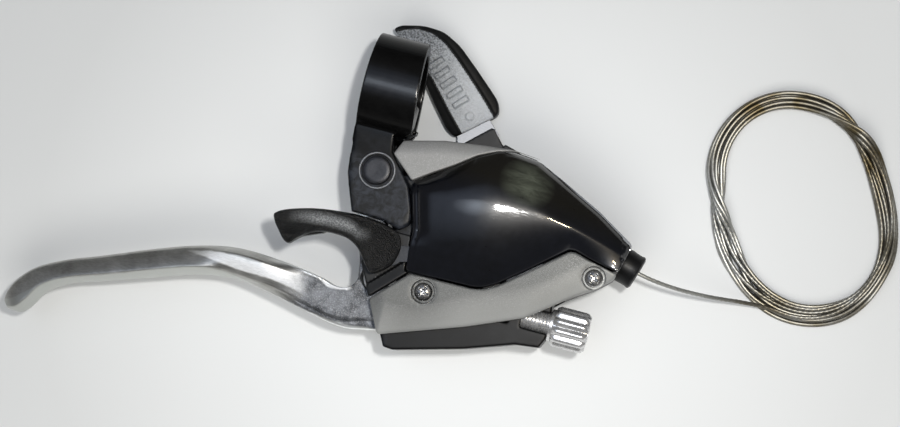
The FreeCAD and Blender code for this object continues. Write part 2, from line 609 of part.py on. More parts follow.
def main():
    os.makedirs("parts", exist_ok=True)
    start, way = wire_frame()
    save("bracket", bracket())
    save("clamp_bolt", clamp_bolt())
    save("lever_pivot_pin", pivot_pin())
    save("pivot_washer", tube(PIVOT, 4.8, 3.0, EAR_TOP[1], EAR_TOP[1] + 0.45))
    save("pivot_clip", tube(PIVOT, 3.9, PIN_R, EAR_BOTTOM[0] - 0.8, EAR_BOTTOM[0]))
    save("brake_lever", brake_lever())
    save("lever_bush", tube(PIVOT, BUSH_R, PIN_R + RUNNING, -ARM_HALF, ARM_HALF))
    save("brake_spring", coil_spring(PIVOT, 3.4, 0.4, -5.95, 1.5, 4.0))
    save("reach_screw", bar_x(-30, 0, 2.0, 8.7, 14.2))
    save("adjuster_barrel", knob())
    save("dome_cover", dome_cover())
    save("front_cover", front_cover())
    save("upper_trim", prism(TRIM_EDGE, COVER_Z + 0.6, 8.4).cut(bar_room()))
    save("side_cover", side_cover())
    save("mid_housing", mid_housing())
    save("bottom_cover", bottom_cover())
    save("pod_screws", pod_screws())
    save("cover_screws", group([screw(COVER_SCREWS[0], 2.45, (6.2, 7.9), 1.0),
                                screw(COVER_SCREWS[1], 2.45, (6.2, 7.9), -1.0)]))
    save("base_plate", base_plate())
    save("top_plate", top_plate())
    save("plate_posts", plate_posts())
    save("main_axle", main_axle())
    save("axle_washer", tube(AXIS, 5.2, AXLE_R, 4.1, 4.8))
    save("axle_nut", axle_nut())
    save("drum_spring", drum_spring())
    save("cable_drum", cable_drum())
    save("index_ratchet", ratchet(RATCHET_R, 0.8, INDEX_LEVEL, HUB_R))
    save("feed_ratchet", ratchet(FEED_R, 0.8, FEED_LEVEL, HUB_R))
    save("cable_nipple", rod(polar(GROOVE_R, 145), 2.2, WIRE_Z - 2.5, WIRE_Z + 2.5))
    save("gear_wire_wrap", wire_wrap())
    save("gear_wire_inner", straight(start, start + way * NOSE_START, WIRE_R))
    save("nose_collar", nose_collar())
    save("thumb_plate", thumb_plate())
    save("thumb_pad", thumb_pad())
    save("thumb_spring", coil_spring(AXIS, 4.4, 0.2, -17.85, 1.4, 7.0))
    save("feed_pawl_pin", rod(polar(FEED_PIN_RADIUS, FEED_ANGLE), 1.0, THUMB_PLATE[1], -14.4))
    save("feed_pawl", feed_pawl())
    save("holding_pawl_pin", rod(HOLD_PIN, 1.2, BASE_PLATE[1], TOP_PLATE[0]))
    save("holding_pawl", holding_pawl())
    save("release_trigger", release_trigger())
    save("release_link", release_link())
    save("trigger_pin", trigger_pin())
    save("trigger_spring", coil_spring(TRIGGER, 2.2, 0.3, 4.7, 2.0, 1.0))
    save("gear_wire", route(gear_wire_route(), WIRE_R))
    save("gear_wire_coil", gear_wire_coil())


main()
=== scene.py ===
"""Looks of the right-hand brake lever and trigger shifter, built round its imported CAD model.

Sizes are in millimetres in the CAD frame and are turned into metres where a mesh is made.
"""

import json
import math

import bmesh
import bpy
import numpy as np
from mathutils import Matrix, Vector, geometry

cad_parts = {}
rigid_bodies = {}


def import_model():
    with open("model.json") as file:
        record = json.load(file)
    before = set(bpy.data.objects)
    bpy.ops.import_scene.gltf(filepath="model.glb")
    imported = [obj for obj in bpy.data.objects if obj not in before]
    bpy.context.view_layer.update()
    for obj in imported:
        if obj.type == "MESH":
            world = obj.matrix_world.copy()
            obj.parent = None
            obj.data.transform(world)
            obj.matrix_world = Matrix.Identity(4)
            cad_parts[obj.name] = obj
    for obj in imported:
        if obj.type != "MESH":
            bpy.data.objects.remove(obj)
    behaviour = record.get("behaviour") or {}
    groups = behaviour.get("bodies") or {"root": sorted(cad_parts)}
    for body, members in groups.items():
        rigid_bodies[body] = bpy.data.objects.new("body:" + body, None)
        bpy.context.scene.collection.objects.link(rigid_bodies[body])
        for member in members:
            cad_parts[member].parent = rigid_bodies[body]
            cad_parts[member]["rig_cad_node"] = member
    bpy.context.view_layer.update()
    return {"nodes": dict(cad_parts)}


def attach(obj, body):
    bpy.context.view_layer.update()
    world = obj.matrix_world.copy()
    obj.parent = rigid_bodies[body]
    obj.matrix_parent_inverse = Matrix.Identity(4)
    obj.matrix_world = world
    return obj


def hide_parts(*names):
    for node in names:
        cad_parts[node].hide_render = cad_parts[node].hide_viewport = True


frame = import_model()

MM = 0.001
FLOOR_Z = -22.0
PIVOT = (2.3, -22.9)
TRIGGER = (11.8, -43.6)
CABLE_Y = -50.9
COVER_SCREWS = ((22.5, -51.1), (65.5, -36.2))
COVER_Z = 4.4

NOSE_ANGLE = math.radians(-17.5)
NOSE_WAY = Vector((math.cos(NOSE_ANGLE), math.sin(NOSE_ANGLE), 0))
NOSE_EXIT = Vector((72.20, -30.32, -4.0))


# ---------------------------------------------------------------- mesh helpers

def put(name, data):
    """A new object in the scene."""
    piece = bpy.data.objects.new(name, data)
    bpy.context.scene.collection.objects.link(piece)
    return piece


def make_object(name, verts, faces, material, smooth_angle=32):
    """A mesh object from points in millimetres, smooth except at its sharp edges."""
    mesh = bpy.data.meshes.new(name)
    mesh.from_pydata([tuple(float(c) * MM for c in v) for v in verts], [], faces)
    mesh.validate()
    work = bmesh.new()
    work.from_mesh(mesh)
    bmesh.ops.recalc_face_normals(work, faces=work.faces)
    work.to_mesh(mesh)
    work.free()
    mesh.shade_smooth()
    mesh.set_sharp_from_angle(angle=math.radians(smooth_angle))
    mesh.materials.append(material)
    return put(name, mesh)


def resample(points, step):
    """A closed outline with extra points on its sides, so that none is longer than the step."""
    out = []
    for a, b in zip(points, points[1:] + points[:1]):
        n = max(1, math.ceil(math.dist(a, b) / step))
        out += [(a[0] + (b[0] - a[0]) * i / n, a[1] + (b[1] - a[1]) * i / n) for i in range(n)]
    return out


def rounded(points, radius, steps=5):
    """An outline with its corners turned into arcs, as large as the sides allow up to the radius."""
    out = []
    count = len(points)
    for i in range(count):
        before, corner, after = (Vector(points[(i + k) % count]) for k in (-1, 0, 1))
        into, away = (before - corner), (after - corner)
        reach = min(radius, 0.45 * into.length, 0.45 * away.length)
        a = corner + into.normalized() * reach
        b = corner + away.normalized() * reach
        for k in range(steps + 1):
            t = k / steps
            out.append(tuple(a * (1 - t) ** 2 + corner * 2 * t * (1 - t) + b * t ** 2))
    return out


def edge_distance(points, outline):
    """Each point's distance to a closed outline, positive inside it."""
    p = np.asarray(points, float)[:, None, :]
    a = np.asarray(outline, float)
    b = np.roll(a, -1, axis=0)
    along = b - a
    t = ((p - a) * along).sum(2) / np.maximum((along ** 2).sum(1), 1e-12)
    near = a + np.clip(t, 0, 1)[..., None] * along
    gap = np.sqrt(((p - near) ** 2).sum(2)).min(1)
    above = (a[:, 1] > p[..., 1]) != (b[:, 1] > p[..., 1])
    run = np.where(above, b[:, 1] - a[:, 1], 1.0)
    crossing = a[:, 0] + (p[..., 1] - a[:, 1]) * along[:, 0] / run
    inside = (above & (p[..., 0] < crossing)).sum(1) % 2 == 1
    return np.where(inside, gap, -gap)


def relief(name, outline, top, bottom, material, step, rings, smooth_angle=32, extra=()):
    """A closed piece on a flat outline. Its top and bottom are heights worked out from x, y and the
    distance to the edge, and its sides are straight. Its mesh has points a step apart, rings of them
    at distances from the edge, and extra ones."""
    edge = resample(outline, step)
    count = len(edge)
    ring = np.array(edge)
    side = np.roll(ring, -1, axis=0) - np.roll(ring, 1, axis=0)
    area = (ring[:, 0] * np.roll(ring[:, 1], -1) - np.roll(ring[:, 0], -1) * ring[:, 1]).sum()
    inward = np.stack([-side[:, 1], side[:, 0]], 1) * (1 if area > 0 else -1)
    inward /= np.linalg.norm(inward, axis=1)[:, None]
    points = [ring]
    for gap in rings:
        moved = ring + inward * gap
        points.append(moved[edge_distance(moved, ring) > 0.96 * gap])
    low, high = ring.min(0), ring.max(0)
    xs, ys = np.meshgrid(np.arange(low[0], high[0], step), np.arange(low[1], high[1], step * 0.866))
    xs = xs + (np.arange(len(xs)) % 2)[:, None] * step / 2
    grid = np.stack([xs.ravel(), ys.ravel()], 1)
    points.append(grid[edge_distance(grid, ring) > (max(rings) if rings else 0) + 0.45 * step])
    if len(extra):
        points.append(np.array(extra)[edge_distance(extra, ring) > 0.1])
    flat = np.concatenate(points)
    loop = [(i, (i + 1) % count) for i in range(count)]
    cdt = geometry.delaunay_2d_cdt([Vector(p) for p in flat], loop, [], 1, 1e-4)
    places = np.array([tuple(v) for v in cdt[0]])
    triangles = [tuple(f) for f in cdt[2]]
    inner = np.maximum(edge_distance(places, ring), 0)
    x, y = places.T
    n = len(places)
    verts = np.concatenate([np.column_stack([x, y, top(x, y, inner)]),
                            np.column_stack([x, y, bottom(x, y, inner)])])
    faces = triangles + [tuple(i + n for i in reversed(t)) for t in triangles]
    uses = {}
    for t in triangles:
        for a, b in zip(t, t[1:] + t[:1]):
            uses.setdefault(frozenset((a, b)), []).append((a, b))
    faces += [(e[0][1], e[0][0], e[0][0] + n, e[0][1] + n) for e in uses.values() if len(e) == 1]
    return make_object(name, verts, faces, material, smooth_angle)


def flat_at(z):
    """A height function that is the same everywhere."""
    return lambda x, y, d: np.full_like(x, z)


def fillet(d, radius):
    """How far a rounded rim has dropped at a distance from the edge."""
    t = np.clip((radius - d) / radius, 0, 1)
    return radius * (1 - np.sqrt(np.maximum(0, 1 - t ** 2)))


def smoothstep(t):
    """Goes softly from 0 to 1 while t does, and is held at both ends."""
    t = np.clip(t, 0, 1)
    return t * t * (3 - 2 * t)


def skin(rings, around):
    """The side faces between rings of points that follow each other, and a cap on each end."""
    faces = []
    for i in range(rings - 1):
        for k in range(around):
            a, b = i * around + k, i * around + (k + 1) % around
            faces.append((a, b, b + around, a + around))
    return faces + [tuple(range(i * around, (i + 1) * around)) for i in (0, rings - 1)]


def lathe(name, stations, centre, material, around=48, way=(0, 0, 1), shape=None, smooth_angle=32):
    """A turned piece: rings of (distance, radius) along a way, closed at both ends on the axis.
    shape(distance, radius, angle) may change the radius round the ring."""
    way = Vector(way).normalized()
    side = way.orthogonal().normalized()
    other = way.cross(side)
    verts = []
    for distance, radius in stations:
        for k in range(around):
            angle = 2 * math.pi * k / around
            r = shape(distance, radius, angle) if shape else radius
            spoke = side * math.cos(angle) + other * math.sin(angle)
            verts.append(Vector(centre) + way * distance + spoke * r)
    return make_object(name, verts, skin(len(stations), around), material, smooth_angle)


def union(name, pieces, voxel, smooth, material, keep):
    """One closed cast piece made from several overlapping ones, with softened edges. The share of
    faces to keep thins its mesh out."""
    verts, faces = [], []
    for piece in pieces:
        start = len(verts)
        verts += [v.co / MM for v in piece.data.vertices]
        faces += [tuple(i + start for i in f.vertices) for f in piece.data.polygons]
        if "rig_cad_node" not in piece:
            bpy.data.objects.remove(piece)
    joined = make_object(name, verts, faces, material)
    remesh = joined.modifiers.new("skin", "REMESH")
    remesh.mode = "VOXEL"
    remesh.voxel_size = voxel * MM
    soften = joined.modifiers.new("soften", "SMOOTH")
    soften.iterations = smooth
    thin = joined.modifiers.new("thin", "DECIMATE")
    thin.ratio = keep
    bake(joined, 50)
    return joined


def bake(piece, smooth_angle=None):
    """Replaces a piece's mesh with what its modifiers make of it, shaded smooth up to an angle."""
    graph = bpy.context.evaluated_depsgraph_get()
    mesh = bpy.data.meshes.new_from_object(piece.evaluated_get(graph))
    piece.modifiers.clear()
    piece.data = mesh
    if smooth_angle:
        mesh.shade_smooth()
        mesh.set_sharp_from_angle(angle=math.radians(smooth_angle))


def place(piece, body, slot, *nodes):
    """Puts a piece on its body in place of its CAD nodes."""
    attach(piece, body)
    if nodes:
        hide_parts(*nodes)


# ---------------------------------------------------------------- material helpers

def screen(r, g, b):
    """A colour from its 0 to 255 screen values."""
    def linear(c):
        c /= 255
        return c / 12.92 if c <= 0.04045 else ((c + 0.055) / 1.055) ** 2.4
    return (linear(r), linear(g), linear(b), 1.0)


class Nodes:
    """The nodes of a material or of the world. Values are numbers or the outputs of other nodes."""

    def __init__(self, owner):
        owner.use_nodes = True
        self.owner = owner
        self.tree = owner.node_tree
        self.shader = self.tree.nodes.get("Principled BSDF") or self.tree.nodes["Background"]

    def give(self, socket, value):
        """Feeds an input with a number, a colour or another node's output."""
        if isinstance(value, bpy.types.NodeSocket):
            self.tree.links.new(value, socket)
        else:
            socket.default_value = value

    def feed(self, slot, value):
        """Feeds one of the shader's inputs."""
        self.give(self.shader.inputs[slot], value)

    def own(self, slot):
        """What feeds one of the shader's inputs so far."""
        return self.shader.inputs[slot].links[0].from_socket

    def add(self, kind, values=(), **settings):
        """A node with its settings, and its inputs given as (name, value) pairs."""
        made = self.tree.nodes.new(kind)
        for key, value in settings.items():
            setattr(made, key, value)
        for key, value in values:
            self.give(made.inputs[key], value)
        return made

    def coords(self, scale=(1, 1, 1)):
        """The piece's own coordinates in millimetres."""
        place_now = self.add("ShaderNodeTexCoord").outputs["Object"]
        size = [s / MM for s in scale]
        return self.add("ShaderNodeMapping", [("Vector", place_now), ("Scale", size)]).outputs[0]

    def axes(self, vector):
        """The three parts of a vector."""
        return self.add("ShaderNodeSeparateXYZ", [("Vector", vector)]).outputs

    def noise(self, where, scale, detail=3.0, rough=0.55, twist=0.0):
        """A noise value from 0 to 1, with its scale in waves per millimetre."""
        return self.add("ShaderNodeTexNoise", [("Vector", where), ("Scale", scale), ("Detail", detail),
                                               ("Roughness", rough), ("Distortion", twist)]).outputs["Fac"]

    def vector(self, operation, a, b=(0, 0, 0), result="Vector"):
        """A sum with two vectors."""
        return self.add("ShaderNodeVectorMath", [(0, a), (1, b)], operation=operation).outputs[result]

    def fold(self, operation, values):
        """Several values put together by one operation, from the left."""
        total = values[0]
        for value in values[1:]:
            total = self.add("ShaderNodeMath", [(0, total), (1, value)], operation=operation).outputs[0]
        return total

    def times(self, *values):
        """The product of several values."""
        return self.fold("MULTIPLY", values)

    def plus(self, *values):
        """The sum of several values."""
        return self.fold("ADD", values)

    def minus(self, *values):
        """The first value less the others."""
        return self.fold("SUBTRACT", values)

    def most(self, *values):
        """The greatest of several values."""
        return self.fold("MAXIMUM", values)

    def ramp(self, value, low, high, start, end):
        """Goes from low to high while the value goes from start to end, and is held at both ends."""
        return self.add("ShaderNodeMapRange", [("Value", value), ("From Min", start), ("From Max", end),
                                               ("To Min", low), ("To Max", high)]).outputs[0]

    def rise(self, value, start, end):
        """Goes from 0 to 1 while the value goes from start to end."""
        return self.ramp(value, 0.0, 1.0, start, end)

    def fall(self, value, start, end):
        """Goes from 1 to 0 while the value goes from start to end."""
        return self.ramp(value, 1.0, 0.0, start, end)

    def curve(self, value, pairs):
        """Follows a smooth line of (value, result) pairs."""
        xs, ys = zip(*pairs)
        left, right, low, high = min(xs), max(xs), min(ys), max(ys)
        node = self.add("ShaderNodeFloatCurve", [("Value", self.rise(value, left, right))])
        line = node.mapping.curves[0]
        places = [((x - left) / (right - left), (y - low) / (high - low)) for x, y in pairs]
        line.points[0].location, line.points[1].location = places[0], places[-1]
        for x, y in places[1:-1]:
            line.points.new(x, y)
        node.mapping.update()
        return self.ramp(node.outputs[0], low, high, 0.0, 1.0)

    def blend(self, factor, a, b):
        """A colour between two. Three numbers are a screen colour, and four a linear one."""
        a, b = (screen(*c) if isinstance(c, tuple) and len(c) == 3 else c for c in (a, b))
        return self.add("ShaderNodeMix", [("Factor", factor), (6, a), (7, b)], data_type="RGBA").outputs[2]


class Finish(Nodes):
    """A finish with patchy colour and roughness, fine grain and a pale edge colour that is wear on some
    finishes and a painted highlight on others, open to further coats.
    """

    def __init__(self, name, dark, light, metallic, rough, patch, grain, bump, stretch=(1, 1, 1), edge_wear_and_highlight=None,
                 edge_radius=0.35, coat=0.0, speck=0.0, rounding=True, specular=0.5):
        super().__init__(bpy.data.materials.new(name))
        self.name = name
        self.where = self.coords()
        self.x, self.y, _ = self.axes(self.where)
        blotch = self.noise(self.where, patch, 4.0, 0.6, 0.4)
        fine = self.noise(self.coords(stretch), grain, 4.0, 0.62)
        tone = self.plus(self.times(blotch, 0.6), self.times(fine, 0.4))
        self.feed("Base Color", self.blend(self.rise(tone, 0.34, 0.66), dark, light))
        if speck:
            flakes = self.noise(self.where, 7.0, 1.0, 0.5)
            self.paint(self.ramp(flakes, 0.0, speck, 0.52, 0.72), (255, 255, 255))
        shine = self.plus(self.times(blotch, 0.5), self.times(fine, 0.5))
        self.feed("Roughness", self.ramp(shine, *rough, 0.34, 0.66))
        near_edge, soft_normal = self.edges(edge_radius)
        # The edge colour is real wear on the dark finishes and a painted highlight on the silver paints and
        # the lever.
        if edge_wear_and_highlight:
            patches = self.rise(self.noise(self.where, 0.9, 5.0, 0.7), 0.4, 0.58)
            self.paint(self.times(near_edge, patches), edge_wear_and_highlight)
        self.feed("Metallic", metallic)
        self.feed("Coat Weight", coat)
        self.feed("Specular IOR Level", specular)
        if rounding:
            self.feed("Normal", soft_normal)
        self.bump(bump, fine)

    def edges(self, radius):
        """How near a point is to a sharp edge, from 0 to 1, and the normal that rounds that edge."""
        soft = self.add("ShaderNodeBevel", [("Radius", radius * MM)], samples=4).outputs[0]
        true = self.add("ShaderNodeNewGeometry").outputs["Normal"]
        return self.fall(self.vector("DOT_PRODUCT", soft, true, "Value"), 0.88, 0.988), soft

    def bump(self, distance, height):
        """Raises a pattern by up to so many millimetres, over the normal so far."""
        node = self.add("ShaderNodeBump", [("Distance", distance * MM), ("Height", height),
                                           ("Strength", 1.0)])
        if self.shader.inputs["Normal"].is_linked:
            self.give(node.inputs["Normal"], self.own("Normal"))
        self.feed("Normal", node.outputs[0])

    def paint(self, amount, colour):
        """Lays a colour over the finish's own."""
        self.feed("Base Color", self.blend(amount, self.own("Base Color"), colour))


# ---------------------------------------------------------------- the free gear wire

WIRE_R = 0.6
STRAND_LAY = 9.0
COIL_CENTRE = (114.9, -1.3)
COIL_RADIUS = 26.4
COIL_OVAL = 4.2
COIL_TURN = math.radians(121)
COIL_TURNS = 11
COIL_STEPS = 28
COIL_START = math.radians(-93)
PITCH = 1.27


def coil_slots():
    """The stacked places of the turns across the hank, walked to and fro from the top layer down."""
    layers = [(2, (1.0, 0.0, -1.0)), (1, (-1.5, -0.5, 0.5, 1.5)), (0, (2.0, 1.0, 0.0, -1.0, -2.0))]
    return [(PITCH * side, PITCH * 0.88 * layer) for layer, row in layers for side in row]


def hank_twist(angle):
    """How far the hank has rolled over at an angle round the coil, and how far it fans out there."""
    degrees = math.degrees(angle)

    def near(middle, width):
        return math.exp(-((degrees - middle) / width) ** 2)

    roll = sum(math.pi * float(smoothstep(((degrees - middle) / width + 1) / 2))
               for middle, width in ((67, 34), (192, 30)))
    pinch = near(328, 22)
    return roll + 1.3 * pinch, 1 + 0.38 * near(232, 34) + 0.16 * near(20, 34) - 0.12 * pinch


def coil_points():
    """The turns of the hank, in order along the wire."""
    slots = coil_slots()
    points = []
    for step in range(COIL_TURNS * COIL_STEPS + 1):
        turned = 2 * math.pi * step / COIL_STEPS
        angle = COIL_START + turned
        lap = turned / (2 * math.pi)
        here = min(int(lap), COIL_TURNS - 1)
        change = float(smoothstep((lap - here - 0.88) / 0.12))
        after = min(here + 1, COIL_TURNS - 1)
        around = (angle - COIL_START) % (2 * math.pi) + COIL_START + 2 * math.pi
        roll, fan = hank_twist(around % (2 * math.pi))
        cos_roll, sin_roll = math.cos(roll), math.sin(roll)
        rolled = [(u * cos_roll - (w - PITCH) * sin_roll, u * sin_roll + (w - PITCH) * cos_roll)
                  for u, w in slots]
        lowest = min(w for _, w in rolled)
        u = rolled[here][0] * (1 - change) + rolled[after][0] * change
        w = rolled[here][1] * (1 - change) + rolled[after][1] * change
        stray = 0.22 * math.sin(2.3 * here + 2 * angle) + 0.16 * math.sin(1.7 * here + 3 * angle)
        radius = COIL_RADIUS + COIL_OVAL * math.cos(2 * (angle - COIL_TURN)) + u * fan + stray
        points.append((COIL_CENTRE[0] + radius * math.cos(angle), COIL_CENTRE[1] + radius * math.sin(angle),
                       FLOOR_Z + WIRE_R + 0.02 + w - lowest))
    return points


def gear_wire(material):
    """The stranded inner wire, from the nose down to the table and into its hank."""
    route = [tuple(NOSE_EXIT), tuple(NOSE_EXIT + NOSE_WAY * 5.5), (87.0, -32.9, -7.4), (97.0, -32.5, -12.0),
             (105.5, -31.4, -16.0)]
    points = route + coil_points()
    curve = bpy.data.curves.new("gear_wire_strand", "CURVE")
    curve.dimensions = "3D"
    spline = curve.splines.new("NURBS")
    spline.points.add(len(points) - 1)
    along = 0.0
    for i, place_now in enumerate(points):
        if i:
            along += math.dist(place_now, points[i - 1])
        spline.points[i].co = (*(c * MM for c in place_now), 1)
        spline.points[i].tilt = 2 * math.pi * along / STRAND_LAY
    spline.order_u = 3
    spline.use_endpoint_u = True
    spline.resolution_u = 8
    curve.twist_mode = "Z_UP"
    curve.bevel_mode = "OBJECT"
    curve.bevel_object = strand_section()
    curve.use_fill_caps = True
    curve.materials.append(material)
    piece = put("gear_wire_strand", curve)
    place(piece, "bracket", "wire_steel", "gear_wire", "gear_wire_coil")


def strand_section():
    """The wire's section: six outer strands round a core."""
    curve = bpy.data.curves.new("strand_section", "CURVE")
    curve.dimensions = "2D"
    spline = curve.splines.new("POLY")
    count = 18
    spline.points.add(count - 1)
    for i in range(count):
        angle = 2 * math.pi * i / count
        radius = WIRE_R * (0.94 + 0.06 * math.cos(6 * angle)) * MM
        spline.points[i].co = (radius * math.cos(angle), radius * math.sin(angle), 0, 1)
    spline.use_cyclic_u = True
    return bpy.data.objects.new("strand_section", curve)


# ---------------------------------------------------------------- stage, light and camera

def stage():
    """A pale table with a very slight grain, painted a little darker away from the object, where less light
    falls.
    """
    nodes = Nodes(bpy.data.materials.new("table"))
    where = nodes.coords()
    pale = nodes.blend(nodes.noise(where, 0.01), (0.80, 0.81, 0.80, 1), (0.84, 0.845, 0.84, 1))
    # Painted shade: the table's colour darkens with distance from the object.
    reach = nodes.vector("DISTANCE", where, (26.0, -38.0, FLOOR_Z), "Value")
    nodes.feed("Base Color", nodes.blend(nodes.rise(reach, 35.0, 120.0), pale, (0.655, 0.66, 0.65, 1)))
    nodes.feed("Roughness", 0.6)
    nodes.feed("Specular IOR Level", 0.2)
    size, z = 1.6, FLOOR_Z * MM
    mesh = bpy.data.meshes.new("table")
    corners = [(-size, -size, z), (size, -size, z), (size, size, z), (-size, size, z)]
    mesh.from_pydata(corners, [], [(0, 1, 2, 3)])
    mesh.materials.append(nodes.owner)
    put("table", mesh)


def lamp(name, direction, distance, size, power, colour, target, **seen):
    """A soft rectangular light that looks at a target, and may be left out of some rays."""
    data = bpy.data.lights.new(name, "AREA")
    data.shape = "RECTANGLE"
    data.size, data.size_y = size
    data.energy = power
    data.color = colour
    holder = put(name, data)
    way = Vector(direction).normalized()
    holder.location = Vector(target) + way * distance
    holder.rotation_euler = way.to_track_quat("Z", "Y").to_euler()
    for key, value in seen.items():
        setattr(holder, "visible_" + key, value)


def room():
    """The room round the table: brightest at the front, dim overhead, with a hazy pane and a small
    bright core in it for polished faces to show."""
    world = bpy.data.worlds.new("studio")
    nodes = Nodes(world)
    sky = nodes.add("ShaderNodeTexCoord").outputs["Generated"]
    _, y, z = nodes.axes(sky)
    walls = nodes.blend(nodes.fall(y, -0.7, 0.4), (0.07, 0.07, 0.07, 1), (0.96, 0.95, 0.93, 1))
    walls = nodes.blend(nodes.rise(z, 0.08, 0.42), walls, (0.10, 0.10, 0.10, 1))
    pane = nodes.rise(nodes.vector("DOT_PRODUCT", sky, (-0.22, 0.10, 0.97), "Value"), 0.84, 0.99)
    hazy = nodes.blend(pane, walls, (0.50, 0.57, 0.72, 1))
    off = nodes.vector("MULTIPLY", nodes.vector("ADD", sky, (0.13, -0.02, 0)), (1.0, 1.7, 0))
    far = nodes.vector("LENGTH", off, result="Value")
    core = nodes.times(nodes.fall(far, 0.04, 0.26), nodes.rise(z, 0.8, 0.9))
    nodes.feed("Color", nodes.blend(core, hazy, (3.4, 3.8, 4.4, 1)))
    bpy.context.scene.world = world


def lights():
    """A small flash beside the viewpoint, a broad weak glow over the front of the table, and a small
    warm lamp that only shows in polished faces."""
    lamp("flash", (0.11, 0.03, 0.6), 0.61, (0.032, 0.022), 1.9, (1.0, 0.99, 0.97), (0.02, -0.03, 0))
    lamp("glow", (0.10, -0.42, 1.0), 0.45, (0.4, 0.3), 1.2, (1.0, 0.985, 0.95), (0.05, -0.08, FLOOR_Z * MM),
         glossy=False)
    lamp("warm", (0.265, 0.06, 1.0), 0.9, (0.07, 0.014), 1.2, (1.0, 0.80, 0.50), (0.055, -0.025, 0.01),
         diffuse=False)


def camera():
    """A long lens almost straight above the object."""
    target = Vector((0.0234, -0.02875, 0))
    back = Vector((0.096, -0.052, 1.0)).normalized()
    roll = math.radians(14.5)
    right = Vector((math.cos(roll), math.sin(roll), 0))
    right = (right - back * right.dot(back)).normalized()
    up = back.cross(right)
    data = bpy.data.cameras.new("camera")
    data.lens = 85
    data.sensor_width = 36
    data.clip_start = 0.01
    holder = put("camera", data)
    turn = Matrix((right, up, back)).transposed()
    holder.matrix_world = Matrix.Translation(target + back * 0.574) @ turn.to_4x4()
    bpy.context.scene.camera = holder


# ---------------------------------------------------------------- finishes

def finishes():
    """Every material, by the name of its slot."""
    made = [
        cast_black(), grip(), pebbled(), gloss_black(), silver_paint(), lever_alloy(), wire_steel(),
        Finish("black_plastic", (5, 5, 5), (16, 17, 18), 0.0, (0.36, 0.5), 0.3, 4.0, 0.015, edge_wear_and_highlight=(60, 60, 62),
               edge_radius=0.25, specular=0.3),
        # The trim's pale edge colour is a painted highlight where its edges catch the light.
        Finish("silver_trim", (114, 114, 113), (130, 130, 128), 0.4, (0.44, 0.54), 0.06, 6.0, 0.006,
               speck=0.16, edge_wear_and_highlight=(206, 207, 205), edge_radius=0.22),
        # shaded_steel is a darker copy of steel, painted shade for the plates deep between the trigger and
        # the dome.
        Finish("shaded_steel", (36, 37, 39), (64, 66, 70), 0.8, (0.4, 0.55), 0.4, 2.0, 0.01),
        Finish("knob_alloy", (204, 204, 204), (234, 234, 234), 0.85, (0.2, 0.34), 0.4, 2.0, 0.01,
               edge_radius=0.2),
        Finish("bush_brass", (150, 118, 62), (196, 160, 92), 1.0, (0.25, 0.42), 0.4, 3.0, 0.01),
        Finish("bright_steel", (150, 150, 150), (205, 205, 204), 1.0, (0.2, 0.36), 0.5, 2.5, 0.012,
               edge_radius=0.2),
        Finish("black_steel", (20, 21, 24), (44, 45, 50), 0.5, (0.28, 0.46), 0.5, 3.0, 0.03,
               edge_wear_and_highlight=(120, 120, 120), edge_radius=0.2),
        Finish("stamped_steel", (120, 122, 126), (160, 162, 166), 1.0, (0.4, 0.55), 0.25, 1.4, 0.012,
               stretch=(0.3, 2.2, 1)),
        Finish("spring_steel", (62, 62, 64), (104, 104, 104), 1.0, (0.25, 0.4), 0.5, 3.0, 0.01)]
    return {coat.name: coat.owner for coat in made}


def cast_black():
    """Black paint on a casting: glossy on the clamp ring, dull and mottled on the lever's ears."""
    made = Finish("cast_black", (3, 3, 3), (9, 9, 9), 0.0, (0.17, 0.25), 0.35, 2.2, 0.008,
                  edge_wear_and_highlight=(120, 120, 122), edge_radius=0.2)
    below = made.fall(made.y, -15.0, -12.8)
    ears = made.times(below, made.fall(made.x, 13.5, 17.0))
    cloud = made.rise(made.noise(made.where, 0.42, 6.0, 0.66, 0.6), 0.42, 0.62)
    dull = made.blend(cloud, (5, 6, 7), (46, 49, 56))
    made.paint(made.times(ears, made.ramp(made.y, 0.8, 0.15, -22.0, -18.5)), dull)
    made.feed("Roughness", made.plus(made.own("Roughness"), made.times(below, 0.2)))
    crown = made.times(made.ramp(made.y, 0.12, 0.5, -9.0, -4.0), made.ramp(made.y, 1.0, 0.3, 4.0, 10.0))
    made.feed("Specular IOR Level", made.plus(crown, made.ramp(made.y, 0.08, 0.0, -22.0, -18.5)))
    return made


def grip():
    """The trigger's grained black, with a grey highlight painted along the ridge, where the rolled face
    catches the light.
    """
    made = Finish("grip", (4, 4, 5), (13, 14, 15), 0.0, (0.28, 0.38), 2.0, 2.4, 0.35, edge_radius=0.3,
                  specular=0.32)
    # Painted highlight: a grey sheen with sparkles along the ridge, where the flash shines on the roll.
    gap = made.minus(made.y, made.curve(made.x, TRIGGER_ROLL[:5]))
    painted_sheen = made.times(made.rise(gap, -1.6, 0.3), made.fall(gap, 0.6, 2.6))
    ends = made.times(made.rise(made.x, -17.0, -9.0), made.fall(made.x, -1.0, 6.0))
    speck = made.ramp(made.noise(made.where, 2.4, 3.0, 0.7), 0.35, 1.0, 0.42, 0.6)
    made.paint(made.times(painted_sheen, ends, speck), (150, 152, 153))
    return made


def pebbled():
    """The grained face of the thumb paddle, painted paler towards the pod, where the face catches more light.
    """
    made = Finish("pebbled", (50, 53, 56), (164, 168, 172), 0.2, (0.30, 0.44), 2.2, 2.2, 0.3,
                  edge_wear_and_highlight=(190, 192, 196), edge_radius=0.2)
    # Painted light: the face grows paler towards the pod, with a wavering edge.
    uneven = made.times(made.noise(made.where, 0.4, 2.0), 6.0)
    made.paint(made.ramp(made.plus(made.x, uneven), 0.0, 0.75, 8.0, 24.0), (214, 217, 220))
    return made


